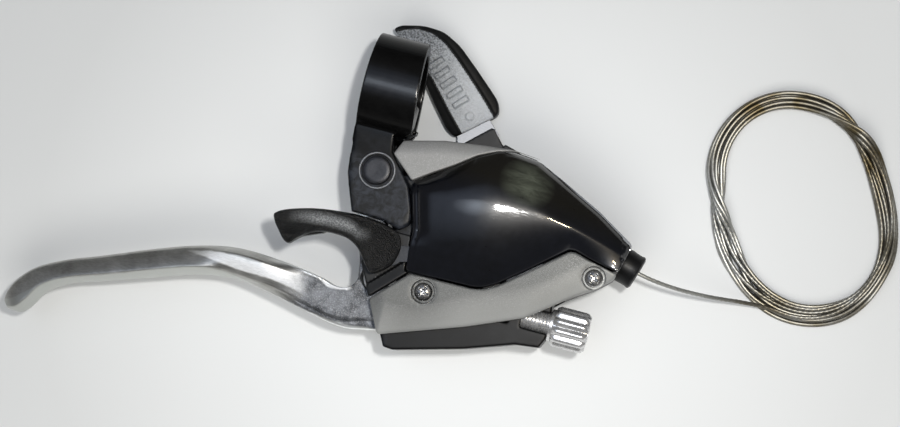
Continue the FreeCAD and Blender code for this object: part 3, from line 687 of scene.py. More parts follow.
def silver_paint():
    """The front cover's paint, with light painted along the edge that faces the rider and a painted highlight
    on its sharp edges.
    """
    # The pale edge colour here is a painted highlight where the cover's edges catch the light.
    made = Finish("silver_paint", (76, 77, 76), (90, 91, 89), 0.5, (0.44, 0.54), 0.06, 6.0, 0.006, speck=0.16,
                  edge_wear_and_highlight=(226, 227, 225), edge_radius=0.45)
    # Painted light: paler towards the lower edge, where the rolled face turns towards the front glow.
    gap = made.minus(made.y, made.curve(made.x, FRONT_LOW))
    made.paint(made.ramp(gap, 0.9, 0.0, 0.5, 9.5), (158, 159, 157))
    return made


def wire_steel():
    """Bare stranded wire, tarnished brown in places, most of all along the far side of the coil."""
    made = Finish("wire_steel", (122, 120, 112), (200, 202, 200), 0.85, (0.34, 0.50), 0.05, 1.5, 0.01,
                  rounding=False)
    far = made.ramp(made.plus(made.y, made.times(made.x, 0.35)), 0.1, 1.0, 30.0, 56.0)
    near = made.ramp(made.minus(made.x, made.y), 0.0, 0.85, 120.0, 146.0)
    patches = made.ramp(made.noise(made.where, 0.12, 4.0, 0.6), 0.45, 1.0, 0.35, 0.6)
    made.paint(made.times(made.most(far, near), patches), (92, 82, 58))
    return made


FACET_TOP = [(-46, -57.5), (-40, -55.6), (-32, -54.5), (-20, -54.9), (0, -55.2)]
FACET_LOW = [(-44, -56.4), (-36, -57.2), (-31.5, -57.6), (-27.5, -58.0), (-18.5, -58.2), (-14, -58.8),
             (-9, -60.2), (-4.5, -62)]
STRIP_TOP = [(-91, -82.6), (-87, -80.6), (-80.5, -75.4), (-77, -73.2), (-63, -68.4), (-54, -65), (-43, -60.7),
             (-35, -59.4), (-30, -59.6), (-22.5, -61.2), (-12, -63.2), (-4.5, -64.3), (4, -64.7), (10, -64.0)]
LIP_TOP = [(-24, -53.3), (-16.9, -53.5), (-6, -55.0), (-1.6, -56.2), (1.4, -55.9), (3.2, -54.4)]


def lever_alloy():
    """A casting with a polished facet and lower strip, painted pale to stand in for the bright table they
    reflect, a lip at the root painted as a highlight, a dull brushed band between them and a grained root."""
    # The pale edge colour is a painted highlight along the lever's edges.
    made = Finish("lever_alloy", (146, 145, 141), (196, 196, 193), 0.9, (0.30, 0.44), 0.12, 1.2, 0.008,
                  stretch=(0.15, 2.5, 2.5), edge_wear_and_highlight=(236, 237, 238), edge_radius=0.35)
    along, where = made.x, made.where
    edge = made.plus(made.y, made.times(made.minus(made.noise(where, 0.25, 2.0), 0.5), 0.9))

    def above(line):
        """1 behind a line of (x, y) points and 0 in front of it."""
        return made.rise(made.minus(edge, made.curve(along, line)), -0.25, 0.25)

    # The facet, the lower strip and the root's lip are masks for painted reflection and a painted highlight.
    facet = made.times(above(FACET_LOW), made.minus(1.0, above(FACET_TOP)), made.rise(along, -45.0, -36.0))
    lip = made.times(above(LIP_TOP), made.rise(along, -22.0, -14.0), made.fall(along, 1.8, 3.2))
    strip = made.most(lip, made.minus(1.0, above(STRIP_TOP)))
    made.feed("Metallic", made.minus(0.9, made.times(facet, 0.65)))
    wobble = made.times(made.noise(where, 0.3, 3.0), 6.0)
    cast = made.times(made.rise(made.plus(along, wobble), -14.0, -5.0), made.minus(1.0, strip))
    sand = made.noise(where, 2.6, 4.0, 0.7)
    marks = made.noise(made.coords((0.5, 3.0, 1.0)), 1.2, 5.0, 0.7, 0.4)
    painted_reflection = made.blend(made.rise(marks, 0.3, 0.6), (206, 208, 209), (232, 233, 234))
    rim = made.blend(made.rise(along, -30.0, -10.0), (192, 194, 190), (240, 242, 242))
    # Painted reflection and highlight: the facet, strip and lip get pale colour in place of the table they
    # mirror, and the facet loses most of its metal.
    made.paint(made.most(facet, strip), made.blend(facet, rim, painted_reflection))
    grey = made.blend(made.rise(made.noise(where, 0.35, 4.0, 0.6), 0.35, 0.65), (70, 72, 76), (122, 125, 130))
    made.paint(cast, made.blend(made.ramp(sand, 0.0, 0.55, 0.5, 0.7), grey, (190, 192, 196)))
    made.feed("Roughness", made.plus(made.times(cast, 0.16), made.own("Roughness")))
    made.bump(0.10, made.times(sand, cast))
    return made


def gloss_black():
    """Clear smoked plastic over black: a deep tone, a polished skin, fine scratches, a brownish reflection
    painted on the rear slope and a pale reflection painted near the back.
    """
    made = Finish("gloss_black", (3, 4, 7), (9, 11, 18), 0.0, (0.26, 0.34), 0.05, 0.6, 0.0, edge_radius=0.2,
                  coat=1.0, specular=0.2)
    marks = made.noise(made.coords((0.35, 4.0, 1.0)), 1.6, 6.0, 0.7, 0.3)
    made.feed("Coat Roughness", made.ramp(marks, 0.03, 0.22, 0.5, 0.75))
    # Painted reflection: a brownish tint on the rear slope.
    behind = made.rise(made.plus(made.y, made.times(made.x, 0.12)), -19.0, -13.0)
    made.paint(behind, (15, 13, 8))
    # Painted reflection: a pale streaky patch near the back of the dome.
    away = made.vector("DISTANCE", made.where, (42.5, -16.0, 11.5), "Value")
    reflection_streaks = made.ramp(made.noise(made.coords((0.25, 1.0, 1.0)), 0.5, 4.0, 0.6, 0.5), 0.35, 1.0, 0.35, 0.6)
    made.paint(made.times(reflection_streaks, made.fall(away, 1.5, 8.0)), (84, 88, 76))
    return made


# ---------------------------------------------------------------- shifter covers

BAR_ROOM = 11.6
WALL = 1.45
DOME_REAR = [(12.2, -23.5), (17.1, -20.0), (22.2, -16.7), (27.6, -12.6), (32.4, -10.2), (36.6, -9.0),
             (43.7, -9.6), (50.7, -12.8), (62.9, -18.8), (73.2, -25.1)]
DOME_FRONT = [(15.8, -46.9), (35.3, -46.5), (38.0, -45.8), (41.2, -44.0), (48.6, -37.9), (57.4, -30.5),
              (59.1, -30.4), (63.5, -31.6), (71.3, -33.1), (73.2, -33.3)]
DOME_EDGE = DOME_REAR + DOME_FRONT[-2:0:-1] + [(16.6, -46.9), (15.8, -36.0)]
RIDGE = [(12.0, -27.5), (24.0, -25.6), (37.0, -24.1), (48.0, -23.6), (58.0, -25.2), (66.0, -27.2),
         (73.5, -29.4)]
RIDGE_HEIGHT = [(12.0, 10.4), (18.0, 12.1), (25.0, 13.4), (30.0, 13.95), (34.0, 13.9), (39.0, 13.3),
                (48.0, 12.2), (58.0, 10.7), (66.0, 9.0), (73.5, 7.4)]
RIM_HEIGHT = [(12.0, 8.4), (32.0, 8.3), (42.0, 6.4), (50.0, 5.4), (73.5, 5.2)]


def at(pairs, x):
    """The value of a line of (x, value) pairs."""
    return np.interp(x, *zip(*pairs))


def follow(pairs, x):
    """The value of a line of (x, value) pairs, eased at its corners."""
    spread = [at(pairs, x + k) for k in (-2.0, -1.0, 0.0, 1.0, 2.0)]
    return sum(spread) / len(spread)


def bar_room(y):
    """How high the handlebar's room reaches at a distance from the bar's axis."""
    return np.sqrt(np.maximum(0, BAR_ROOM ** 2 - y ** 2))


def dome_height(x, y, d):
    """The dome's crowned top, with a soft ridge that runs down to the nose."""
    ridge_y, ridge_z = follow(RIDGE, x), follow(RIDGE_HEIGHT, x)
    rear, front = at(DOME_REAR, x), at(DOME_FRONT, x)
    behind = np.clip((y - ridge_y) / np.maximum(rear - ridge_y, 0.5), 0, 1.05)
    ahead = np.clip((ridge_y - y) / np.maximum(ridge_y - front, 0.5), 0, 1.05)
    crease = smoothstep((x - 36) / 22)
    rear_z = follow(RIM_HEIGHT, x)
    back = (ridge_z - rear_z) * behind ** (2.0 - 0.6 * crease)
    face = (ridge_z - 8.25) * ahead ** (2.0 - 0.4 * crease)
    left = np.interp(y, (-46.9, -36.0, -23.5, -20.0), (16.6, 15.8, 12.2, 17.1))
    inside = x - left
    over_link = 0.12 + 0.88 * smoothstep((y + 40) / 5)
    shoulder = 1.5 * np.clip(1 - inside / 6.0, 0, 1) ** 2.2 * over_link
    groove = 0.5 * np.exp(-((inside - 1.35) / 0.24) ** 2) * (y < -24) * over_link
    nose = 0.35 * (x + 0.24 * (y + 33) > 72.3)
    band = 1.2 * np.clip(1 - d / 1.25, 0, 1) * smoothstep((x - 33) / 5) * (y > ridge_y)
    return np.maximum(ridge_z - back - face - shoulder - groove - nose - band - fillet(d, 0.3), 5.0)


def dome(material):
    """The smoked cover over the gears: a shell that leaves room for the release link and the bar."""
    def under(x, y, d):
        wall = np.where(d < WALL, COVER_Z, dome_height(x, y, 9 + d) - 1.4)
        over_link = np.where((x < 32) & (y < -35), 8.05, COVER_Z)
        return np.minimum(np.maximum(np.maximum(wall, over_link), bar_room(y)), dome_height(x, y, d) - 0.12)

    piece = relief("smoked_dome", rounded(DOME_EDGE, 1.2), dome_height, under, material, 0.45,
                   (0.1, 0.25, 0.45, 0.7, 1.4, 1.5), 40)
    place(piece, "bracket", "gloss_black", "dome_cover")


FRONT_HIGH = [(9.0, -56.5), (17.9, -47.3), (35.3, -47.0), (38.2, -46.3), (41.5, -44.4), (48.9, -38.3),
              (57.5, -31.0), (59.1, -30.8), (63.5, -32.0), (71.1, -33.7), (70.6, -35.3)]
FRONT_LOW = [(9.0, -59.0), (13.3, -65.2), (35.5, -57.3), (50.4, -51.0), (60.8, -42.8), (67.0, -38.7),
             (71.5, -34.8)]
FRONT_EDGE = FRONT_HIGH + FRONT_LOW[-2:0:-1]
SEAT_Z = 6.25


def front_cover(material):
    """The painted front cover, which rolls down to its lower edge, with two sunk screw seats."""
    def top(x, y, d):
        roll = 1.3 * np.clip(1 - (y - at(FRONT_LOW, x)) / 9.5, 0, 1) ** 2.0
        z = 8.45 - roll - 0.25 * smoothstep((x - 52) / 18) - fillet(d, 0.45)
        for screw_x, screw_y in COVER_SCREWS:
            r = np.hypot(x - screw_x, y - screw_y)
            seat = smoothstep((r - 2.95) / 0.3)
            z = np.minimum(z, SEAT_Z + (z - SEAT_Z) * seat - 0.1 * np.exp(-((r - 3.4) / 0.25) ** 2))
        return z

    def under(x, y, d):
        return np.minimum(np.where(d < WALL, COVER_Z, 5.9), top(x, y, d) - 0.3)

    rings = [(cx + r * math.cos(a), cy + r * math.sin(a)) for cx, cy in COVER_SCREWS
             for r in (2.9, 3.0, 3.1, 3.25, 3.5) for a in np.linspace(0, 2 * math.pi, 60, endpoint=False)]
    piece = relief("painted_front_cover", rounded(FRONT_EDGE, 0.9), top, under, material, 0.5,
                   (0.1, 0.22, 0.45, 0.8, 1.4, 1.5), 40, rings)
    place(piece, "bracket", "silver_paint", "front_cover")


TRIM_REAR = [(5.4, -13.8), (7.1, -13.3), (17.9, -10.6), (29.0, -9.2), (36.8, -8.5), (44.0, -9.2)]
TRIM_EDGE = [(5.4, -17.4)] + TRIM_REAR[1:] + [(36.6, -8.8), (32.3, -9.9), (27.4, -12.3), (22.0, -16.4),
                                              (16.9, -19.7), (12.0, -23.2)]


def upper_trim(material):
    """The painted trim behind the dome, which rolls away towards the handlebar."""
    def top(x, y, d):
        return 8.5 - 0.75 * np.clip(1 - (at(TRIM_REAR, x) - y) / 4.0, 0, 1) ** 1.8 - fillet(d, 0.3)

    def under(x, y, d):
        return np.minimum(np.maximum(5.0, bar_room(y)), top(x, y, d) - 0.12)

    piece = relief("painted_upper_trim", rounded(TRIM_EDGE, 0.5, 3), top, under, material, 0.5,
                   (0.08, 0.18, 0.35), 40)
    place(piece, "bracket", "silver_paint", "upper_trim")


def side_cover(material):
    """The black plate beside the trigger and the smoked strip along the front cover's corner."""
    plate = [(4.0, -47.2), (8.6, -56.0), (17.3, -47.1), (16.2, -46.9), (15.4, -37.4), (10.4, -37.4),
             (8.4, -41.0)]

    def top(x, y, d):
        past_corner = (x - 8.6) * 0.6926 - (y + 56.0) * 0.6770
        strip = 1.1 * smoothstep((past_corner + 3.2) / 0.5)
        return 6.3 + strip + 0.35 * np.clip((past_corner + 2.4) / 2.4, 0, 1) - fillet(d, 0.35)

    piece = relief("side_cover_moulding", rounded(plate, 0.5, 3), top, flat_at(COVER_Z - 0.5), material, 0.3,
                   (0.1, 0.25, 0.5), 40)
    place(piece, "bracket", "gloss_black", "side_cover")


def screw_head(name, centre, material):
    """A pan head with a tapered cross recess."""
    outline = [(centre[0] + 2.45 * math.cos(a), centre[1] + 2.45 * math.sin(a))
               for a in np.linspace(0, 2 * math.pi, 64, endpoint=False)]
    turn = 0.45

    def top(x, y, d):
        u, v = x - centre[0], y - centre[1]
        u, v = u * math.cos(turn) - v * math.sin(turn), u * math.sin(turn) + v * math.cos(turn)
        r = np.hypot(u, v)
        crown = 7.9 - 0.12 * r ** 2 - fillet(d, 0.45)
        arm = np.minimum(np.maximum(np.abs(u) - 0.3, np.abs(v) - 1.35),
                         np.maximum(np.abs(v) - 0.3, np.abs(u) - 1.35))
        recess = 0.85 * smoothstep(-(arm - 0.12) / 0.3) * np.clip(1.15 - 0.35 * r, 0, 1)
        return crown - recess

    return relief(name, outline, top, flat_at(6.2), material, 0.13, (0.06, 0.15, 0.3, 0.45), 45)


def cover_screws(material):
    """The two screws that hold the front cover, with their shanks."""
    heads = [screw_head("screw", centre, material) for centre in COVER_SCREWS]
    shanks = [lathe("shank", [(0, 1.2), (5.4, 1.2)], (x, y, 0.9), material, 24) for x, y in COVER_SCREWS]
    piece = merge("cover_screw_heads", heads + shanks)
    place(piece, "bracket", "bright_steel", "cover_screws")


def merge(name, pieces):
    """Several separate solids as one piece."""
    bpy.ops.object.select_all(action="DESELECT")
    for piece in pieces:
        piece.select_set(True)
    bpy.context.view_layer.objects.active = pieces[0]
    bpy.ops.object.join()
    pieces[0].name = pieces[0].data.name = name
    return pieces[0]


# ---------------------------------------------------------------- brake lever

BLADE = [((-90.7, -82.3), (-88.6, -84.7), 1.9), ((-90.3, -79.4), (-85.6, -84.7), 3.2),
         ((-88.4, -75.6), (-83.0, -82.4), 4.0), ((-83.8, -71.2), (-79.6, -77.2), 4.4),
         ((-76.0, -67.2), (-73.2, -73.3), 4.6), ((-66.4, -63.6), (-63.6, -70.1), 4.8),
         ((-53.8, -58.6), (-51.2, -65.9), 5.0), ((-41.5, -54.4), (-39.8, -62.2), 5.0),
         ((-30.0, -52.2), (-29.6, -60.6), 5.0), ((-16.9, -52.7), (-17.5, -62.2), 4.8),
         ((-6.0, -54.2), (-7.0, -64.4), 4.3), ((-1.6, -55.4), (-2.0, -65.4), 4.1),
         ((1.4, -55.0), (1.6, -65.8), 4.1), ((3.4, -53.4), (4.4, -65.8), 4.1),
         ((4.4, -50.8), (7.4, -65.3), 4.1), ((7.6, -48.6), (10.0, -64.8), 4.1),
         ((12.4, -48.0), (12.0, -64.3), 4.1)]
BLADE_DROOP = 5.0
OUTER_SECTION = [(0, -0.15), (0.02, 0.25), (0.08, 0.5), (0.3, 0.74), (0.55, 0.91), (0.74, 1.0), (0.79, 0.92),
                 (0.9, 0.45), (0.97, 0.05), (1, -0.3)]
FACET_SECTION = [(0, -0.15), (0.02, 0.3), (0.1, 0.68), (0.19, 0.94), (0.24, 1.0), (0.45, 0.97), (0.6, 0.88),
                 (0.86, 0.62), (0.92, 0.3), (0.98, -0.05), (1, -0.3)]
ROOT_SECTION = [(0, -0.15), (0.01, 0.62), (0.035, 0.74), (0.065, 0.66), (0.2, 0.63), (0.6, 0.6), (0.79, 0.56),
                (0.83, 0.26), (0.88, 0.3), (0.985, 0.22), (1, -0.3)]
SECTION_STEPS = (0, 0.01, 0.03, 0.06, 0.1, 0.15, 0.2, 0.24, 0.3, 0.4, 0.5, 0.6, 0.68, 0.74, 0.79, 0.84, 0.89,
                 0.94, 0.98, 1)


def catmull(values, steps):
    """A smooth line through a list of equal-length rows of numbers."""
    rows = np.array(values, float)
    padded = np.vstack([2 * rows[0] - rows[1], rows, 2 * rows[-1] - rows[-2]])
    out = []
    for i in range(len(rows) - 1):
        a, b, c, e = padded[i:i + 4]
        for t in np.linspace(0, 1, steps, endpoint=False):
            out.append(0.5 * (2 * b + (c - a) * t + (2 * a - 5 * b + 4 * c - e) * t ** 2
                              + (3 * b - a - 3 * c + e) * t ** 3))
    out.append(rows[-1])
    return np.array(out)


def blade_shape(x):
    """The lever's section as (across, height) from its upper edge round to its lower one: a crest
    near the lower edge that gives way to a broad facet, then to the dished, lipped root."""
    facet, root = float(smoothstep((x + 42) / 13)), float(smoothstep((x + 24) / 16))
    outer, flat, dished = (at(line, SECTION_STEPS) for line in (OUTER_SECTION, FACET_SECTION, ROOT_SECTION))
    heights = (outer * (1 - facet) + flat * facet) * (1 - root) + dished * root
    above = [(1 - 2 * step, height) for step, height in zip(SECTION_STEPS, heights)]
    return above + [(-0.97, -0.55), (-0.84, -0.82), (-0.5, -0.97), (0.0, -1.0), (0.5, -0.97), (0.84, -0.82),
                    (0.97, -0.55)]


def blade(material):
    """The lever from its tip to the covers, as slices across its two edges."""
    verts = []
    rows = catmull([(*upper, *lower, half) for upper, lower, half in BLADE], 7)
    for ux, uy, lx, ly, half in rows:
        shape = blade_shape(ux)
        middle = (0.5 * (ux + lx), 0.5 * (uy + ly))
        side = (0.5 * (ux - lx), 0.5 * (uy - ly))
        centre_z = -0.6 - BLADE_DROOP * min(1.0, max(0.0, (-10.0 - ux) / 78.0)) ** 1.5
        for s, h in shape:
            verts.append((middle[0] + side[0] * s, middle[1] + side[1] * s, centre_z + half * h))
    return make_object("blade", verts, skin(len(rows), len(shape)), material)


def brake_lever(material):
    """The whole lever as one casting: blade, root, arm, eye and the seat of the cable's end."""
    arm_outline = [(-3.6, -25.5), (0.6, -40.0), (3.3, -47.0), (4.1, -52.0), (12.4, -53.0), (12.4, -48.8),
                   (11.6, -47.5), (9.8, -46.6), (7.6, -36.0), (8.2, -25.5)]
    arm = relief("arm", rounded(arm_outline, 0.8, 3), lambda x, y, d: 3.4 - fillet(d, 0.5), flat_at(-3.4),
                 material, 0.6, (0.2, 0.5))
    eye = lathe("eye", [(0, 5.6), (0.4, 6.0), (6.5, 6.0), (6.9, 5.6)], (*PIVOT, -3.45), material, 64)
    body = union("lever_casting", [blade(material), arm, eye], 0.24, 2, material, 0.45)
    bore = lathe("bore", [(0, 3.5), (20, 3.5)], (*PIVOT, -10), material)
    seat = lathe("seat", [(0, 3.55), (20, 3.55)], (8.2, CABLE_Y, -10), material)
    front, rear = CABLE_Y - 0.9, CABLE_Y + 0.9
    slot = relief("slot", [(8.2, front), (20, front), (20, rear), (8.2, rear)], flat_at(9), flat_at(-9),
                  material, 2.0, ())
    carve(body, [bore, seat, slot])
    place(body, "brake_lever", "lever_alloy", "brake_lever")


def carve(body, tools):
    """Cuts other pieces out of a piece."""
    for tool in tools:
        cut = body.modifiers.new("cut", "BOOLEAN")
        cut.operation = "DIFFERENCE"
        cut.solver = "EXACT"
        cut.object = tool
    bake(body, 48)
    for tool in tools:
        bpy.data.objects.remove(tool)


# ---------------------------------------------------------------- release trigger and thumb paddle

TRIGGER_FLOOR = 8.3
TRIGGER_EDGE = [(-20.5, -42.1), (-20.2, -40.6), (-17.2, -39.0), (-10.8, -37.1), (-4.2, -36.1), (2.6, -35.7),
                (8.3, -36.3), (11.7, -37.5), (13.4, -39.5), (13.8, -42.7), (12.4, -46.8), (8.5, -49.8),
                (6.6, -48.6), (4.8, -46.4), (2.8, -44.2), (-0.3, -42.6), (-3.9, -42.2), (-7.3, -42.5),
                (-10.4, -43.6), (-13.3, -45.6), (-15.0, -47.5), (-16.2, -47.6), (-18.0, -46.0)]
TRIGGER_ROLL = [(-24.0, -42.8), (-18.4, -41.6), (-9.8, -39.9), (-3.0, -39.6), (2.0, -41.0), (5.4, -44.0),
                (7.4, -47.0), (8.4, -51.0)]


def closed_curve(points, steps):
    """A smooth closed outline through points."""
    wrapped = catmull(points[-2:] + points + points[:3], steps)
    return [tuple(p) for p in wrapped[2 * steps:(2 + len(points)) * steps]]


def line_distance(x, y, points):
    """Distance to an open line, positive on its left side."""
    best = np.full(x.shape, 1e9)
    side = np.zeros_like(x)
    for (ax, ay), (bx, by) in zip(points, points[1:]):
        dx, dy = bx - ax, by - ay
        t = np.clip(((x - ax) * dx + (y - ay) * dy) / (dx * dx + dy * dy), 0, 1)
        gap = np.hypot(x - ax - t * dx, y - ay - t * dy)
        nearer = gap < best
        side = np.where(nearer, np.sign(dx * (y - ay) - dy * (x - ax)), side)
        best = np.minimum(best, gap)
    return best * side


def release_trigger(material):
    """The finger trigger: it rolls over a soft ridge into a hollow finger side, inside a thin rim."""
    def top(x, y, d):
        roll = line_distance(x, y, TRIGGER_ROLL)
        behind, ahead = np.clip(roll, 0, None), np.clip(-roll, 0, None)
        spine = 14.0 - 0.10 * np.clip(x + 14, -4, 14) - 0.04 * np.clip(x, 0, 12)
        lobe = smoothstep(x / 5)
        slope = (0.07 * (1 - lobe) + 0.02 * lobe) * behind ** 2 + 0.25 * lobe * behind
        fall = 2.4 * smoothstep((ahead - 0.7) / 4.0) + 0.12 * ahead
        lip = 0.6 * np.exp(-((d - 0.35) / 0.5) ** 2) * (ahead > 1.2)
        rim = 0.25 * np.exp(-((d - 0.55) / 0.25) ** 2) * (behind > 0)
        tip = 0.5 * smoothstep((-15 - x) / 5)
        return np.maximum(spine - slope - fall - tip + rim + lip - fillet(d, 0.3), TRIGGER_FLOOR + 0.45)

    outline = closed_curve(TRIGGER_EDGE, 6)
    upper = relief("upper", outline, top, flat_at(TRIGGER_FLOOR), material, 0.35,
                   (0.12, 0.3, 0.5, 0.75, 1.0), 35)
    grip_edge = [(-20.0, -42.0), (-17.6, -40.0), (-10.7, -38.0), (-6.4, -37.4), (-6.4, -42.4), (-12.7, -45.0),
                 (-15.3, -47.4), (-17.6, -45.8)]
    lower = relief("lower", rounded(grip_edge, 1.2), flat_at(9.2), lambda x, y, d: 5.7 + fillet(d, 0.8),
                   material, 0.4, (0.15, 0.4, 0.8))
    piece = union("trigger_moulding", [upper, lower], 0.2, 2, material, 0.4)
    bore = lathe("bore", [(0, 1.25), (9.2, 1.25)], (*TRIGGER, 0), material, 32)
    carve(piece, [bore])
    place(piece, "release_trigger", "black_plastic", "release_trigger")


def trigger_pin(material):
    """The pin that the trigger turns on, inside its moulding."""
    stations = [(0, 0.9), (0.3, 1.2), (8.7, 1.2), (9.0, 0.9)]
    pin = lathe("trigger_pin_shank", stations, (*TRIGGER, 0), material, 32)
    place(pin, "bracket", "bright_steel", "trigger_pin")


PAD_BARS = 5
PAD_EDGE = [(-6.8, 18.4), (-4.9, 19.8), (1.3, 21.2), (7.2, 20.9), (12.6, 18.2), (19.6, 12.3), (26.8, 5.9),
            (28.0, 2.2), (17.6, -6.9), (14.9, -5.6), (8.6, 2.0), (2.5, 10.0)]
PAD_FACE = [(-6.1, 17.4), (-3.1, 18.9), (0.4, 19.8), (4.2, 19.6), (8.3, 17.8), (12.9, 14.2), (18.7, 9.0),
            (23.6, 4.4), (27.0, 0.9), (20.1, -6.2), (14.7, -0.6), (7.3, 7.6), (0.9, 12.3)]


def thumb_pad(rim, face):
    """The thumb paddle: a smooth dark flank round a pebbled face with five raised bars and a boss."""
    face_edge = rounded(PAD_FACE, 0.8, 3)

    def top(x, y, d):
        u, v = (x - 13.0) * 0.731 - (y - 5.6) * 0.682, (x - 13.0) * 0.682 + (y - 5.6) * 0.731
        inside = edge_distance(np.stack([x, y], 1), face_edge)
        z = -15.1 - 0.0035 * (u + 12) ** 2 - 1.5 * np.clip(-inside / 4.5, 0, 1) ** 1.5 - fillet(d, 0.5)
        z = z + 0.35 * np.exp(-((inside + 0.25) / 0.3) ** 2)
        for i in range(PAD_BARS):
            bar = np.maximum(np.abs(v - 0.6) - 2.4, np.abs(u + 8.2 - 3.2 * i) - 0.8)
            z = z + 0.8 * smoothstep(-(bar - 0.1) / 0.3)
        return z + 0.35 * smoothstep((1.3 - np.hypot(u - 9.3, v - 0.6)) / 0.3)

    outline = rounded(PAD_EDGE, 2.0, 5)
    piece = relief("thumb_paddle", outline, top, lambda x, y, d: -21.4 + fillet(d, 0.6), rim, 0.3,
                   (0.1, 0.25, 0.45, 0.8, 1.2, 1.4, 1.6), 45, face_edge)
    piece.data.materials.append(face)
    centres = np.array([polygon.center for polygon in piece.data.polygons]) / MM
    inside = edge_distance(centres[:, :2], face_edge)
    for polygon, gap in zip(piece.data.polygons, inside):
        polygon.material_index = int(gap > 0.05 and polygon.normal.z > 0.1)
    place(piece, "thumb_lever", "black_plastic", "thumb_pad")


def arm_jacket(material):
    """The black moulding round the thumb lever's steel arm, between the paddle and the pod."""
    outline = [(22.6, -5.6), (27.4, -1.2), (28.6, -2.8), (30.4, -5.0), (33.0, -7.4), (34.6, -15.0),
               (22.5, -15.0), (18.8, -9.2)]
    piece = relief("thumb_arm_jacket", rounded(outline, 0.8, 3), lambda x, y, d: -17.9 - fillet(d, 0.3),
                   flat_at(-19.68), material, 0.5, (0.1, 0.3))
    place(piece, "thumb_lever", "black_plastic")


# ---------------------------------------------------------------- turned parts

SCREW_START = 46.5
KNOB_START = 58.0
KNOB_R = 5.65
FLUTES = 12
THREAD_PITCH = 1.0


def adjuster(material):
    """The cable adjuster: a fluted barrel, its neck and a threaded hollow screw."""
    def shape(distance, radius, angle):
        x = SCREW_START + distance
        if x > KNOB_START + 0.1 and radius > 4.9:
            wave = 0.5 + 0.5 * math.cos(FLUTES * angle)
            return radius - 0.75 * (1 - wave ** 0.6) * (radius - 4.6)
        if x < KNOB_START - 1.0:
            return radius + 0.24 * math.cos(angle - 2 * math.pi * x / THREAD_PITCH)
        return radius

    stations = [(0.1 * i, 3.3) for i in range(0, 105)]
    stations += [(10.6, 4.3), (11.4, 4.3), (11.5, 4.4), (11.6, 4.9), (12.3, 5.5), (12.6, KNOB_R)]
    stations += [(12.6 + 0.5 * i, KNOB_R) for i in range(1, 15)]
    stations += [(20.3, 5.45), (21.0, 4.75), (21.1, 4.4), (21.1, 3.05), (15.1, 3.05), (15.1, 1.5), (0.0, 1.5)]
    piece = lathe("adjuster_knob", stations, (SCREW_START, CABLE_Y, 0), material, 96, (1, 0, 0), shape, 35)
    open_ends(piece, len(stations), 96)
    place(piece, "brake_adjuster", "knob_alloy", "adjuster_barrel")


def open_ends(piece, rings, around):
    """Joins a tube's last ring to its first, in place of the two end caps."""
    work = bmesh.new()
    work.from_mesh(piece.data)
    work.faces.ensure_lookup_table()
    bmesh.ops.delete(work, geom=[f for f in work.faces if len(f.verts) == around], context="FACES_ONLY")
    work.verts.ensure_lookup_table()
    last = (rings - 1) * around
    for k in range(around):
        j = (k + 1) % around
        work.faces.new([work.verts[i] for i in (last + k, last + j, j, k)])
    bmesh.ops.recalc_face_normals(work, faces=work.faces)
    work.to_mesh(piece.data)
    work.free()


def pivot_pin(material):
    """The domed head of the lever's pivot pin and its shank."""
    stations = [(0, 0.02), (0, 2.2), (0.3, 2.5), (20.0, 2.5), (20.0, 2.8), (20.55, 2.8), (20.6, 3.85),
                (20.9, 3.95), (21.5, 3.9), (21.85, 3.65), (21.98, 3.3), (22.0, 2.6), (21.96, 1.4),
                (21.95, 0.02)]
    piece = lathe("pivot_pin_head", stations, (*PIVOT, -12.0), material, 56)
    place(piece, "bracket", "black_steel", "lever_pivot_pin")


def pivot_ring(material):
    """The bright ring pressed round the pivot pin's head."""
    stations = [(0.0, 4.45), (0.0, 5.0), (0.3, 5.0), (0.45, 4.85), (0.45, 4.62), (0.3, 4.5)]
    piece = lathe("pivot_bright_ring", stations, (*PIVOT, 8.0), material, 64)
    open_ends(piece, len(stations), 64)
    place(piece, "bracket", "bright_steel", "pivot_washer")


def collar(material):
    """The rubbery nose collar with a bead at each end and a sunk mouth round the wire."""
    stations = [(0, 0.95), (0, 3.4), (3.4, 3.4), (3.45, 4.4), (3.6, 4.7), (4.2, 4.8), (5.0, 4.72),
                (5.6, 4.66), (7.0, 4.66), (7.7, 4.82), (8.1, 4.6), (8.4, 3.9), (8.4, 2.6), (5.0, 2.5),
                (4.8, 0.95)]
    piece = lathe("nose_collar_moulding", stations, NOSE_EXIT - NOSE_WAY * 4.0, material, 56, NOSE_WAY)
    open_ends(piece, len(stations), 56)
    place(piece, "bracket", "black_plastic", "nose_collar")


# ---------------------------------------------------------------- cast and moulded housings

def softened(node_name, name, smooth, material):
    """A moulding from its CAD solid, with the edges that a mould leaves round."""
    piece = union(name, [frame["nodes"][node_name]], 0.3, smooth, material, 0.5)
    place(piece, "bracket", "black_plastic", node_name)


ROUNDED_CORNERS = ((-5.6, -25.0), (-6.4, -17.0), (14.4, -34.8), (12.0, -36.9))
CORNER_REACH = 3.6


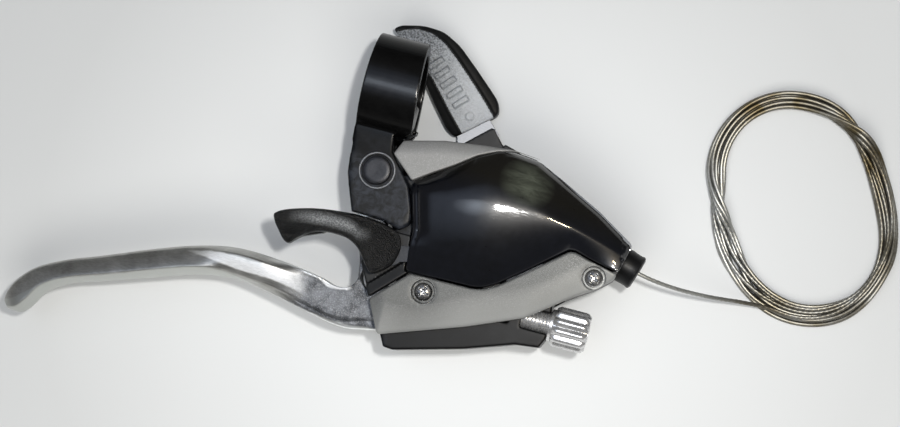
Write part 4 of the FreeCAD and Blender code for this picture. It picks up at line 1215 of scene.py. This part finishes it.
def clamp_bracket(material):
    """The bracket's casting, with its corners rounded and its clamp ring flared towards the pod."""
    lug = relief("lug", rounded([(5.8, -10.6), (5.8, -2.8), (7.6, -2.9), (7.6, -10.6)], 0.4, 3),
                 lambda x, y, d: 3.0 - fillet(d, 0.3), flat_at(-4.0), material, 0.5, (0.15, 0.3))
    piece = union("bracket_casting", [frame["nodes"]["bracket"], lug], 0.3, 3, material, 0.5)
    soft = piece.vertex_groups.new(name="corners")
    for vertex in piece.data.vertices:
        x, y, z = (c / MM for c in vertex.co)
        near = min(math.dist((x, y), corner) for corner in ROUNDED_CORNERS)
        if near < CORNER_REACH and z > 3.0:
            soft.add([vertex.index], smoothstep((CORNER_REACH - near) / 1.5), "REPLACE")
    relax = piece.modifiers.new("relax", "SMOOTH")
    relax.vertex_group = "corners"
    relax.iterations = 30
    bake(piece)
    for vertex in piece.data.vertices:
        x, y, z = (c / MM for c in vertex.co)
        on_ring = float(smoothstep((y + 12.6) / 2.0)) * min(1.0, max(0.0, x / 5.0)) * (math.hypot(y, z) > 10)
        vertex.co.x += MM * on_ring * (0.9 - 0.07 * y + 0.05 * z)
    place(piece, "bracket", "cast_black", "bracket")


# ---------------------------------------------------------------- the whole scene

# Steel plates deep between the trigger and the dome get the darker shaded_steel, painted shade in place of
# the shade there.
SHADED = ("release_link", "top_plate", "holding_pawl")

finish = finishes()
for node_name, node_object in frame["nodes"].items():
    slot_name = node_object.data.materials[0].name.split(".")[0]
    node_object.data.materials[0] = finish["shaded_steel"] if node_name in SHADED else finish[slot_name]
    node_object.data.shade_smooth()

gear_wire(finish["wire_steel"])
dome(finish["gloss_black"])
front_cover(finish["silver_paint"])
upper_trim(finish["silver_trim"])
side_cover(finish["black_plastic"])
cover_screws(finish["bright_steel"])
brake_lever(finish["lever_alloy"])
release_trigger(finish["grip"])
trigger_pin(finish["bright_steel"])
thumb_pad(finish["black_plastic"], finish["pebbled"])
arm_jacket(finish["black_plastic"])
adjuster(finish["knob_alloy"])
pivot_pin(finish["black_steel"])
pivot_ring(finish["stamped_steel"])
collar(finish["black_plastic"])
clamp_bracket(finish["cast_black"])
softened("mid_housing", "housing_wall", 2, finish["black_plastic"])
softened("bottom_cover", "pod_floor", 3, finish["black_plastic"])
stage()
room()
lights()
camera()
bpy.context.scene.view_settings.view_transform = "Standard"
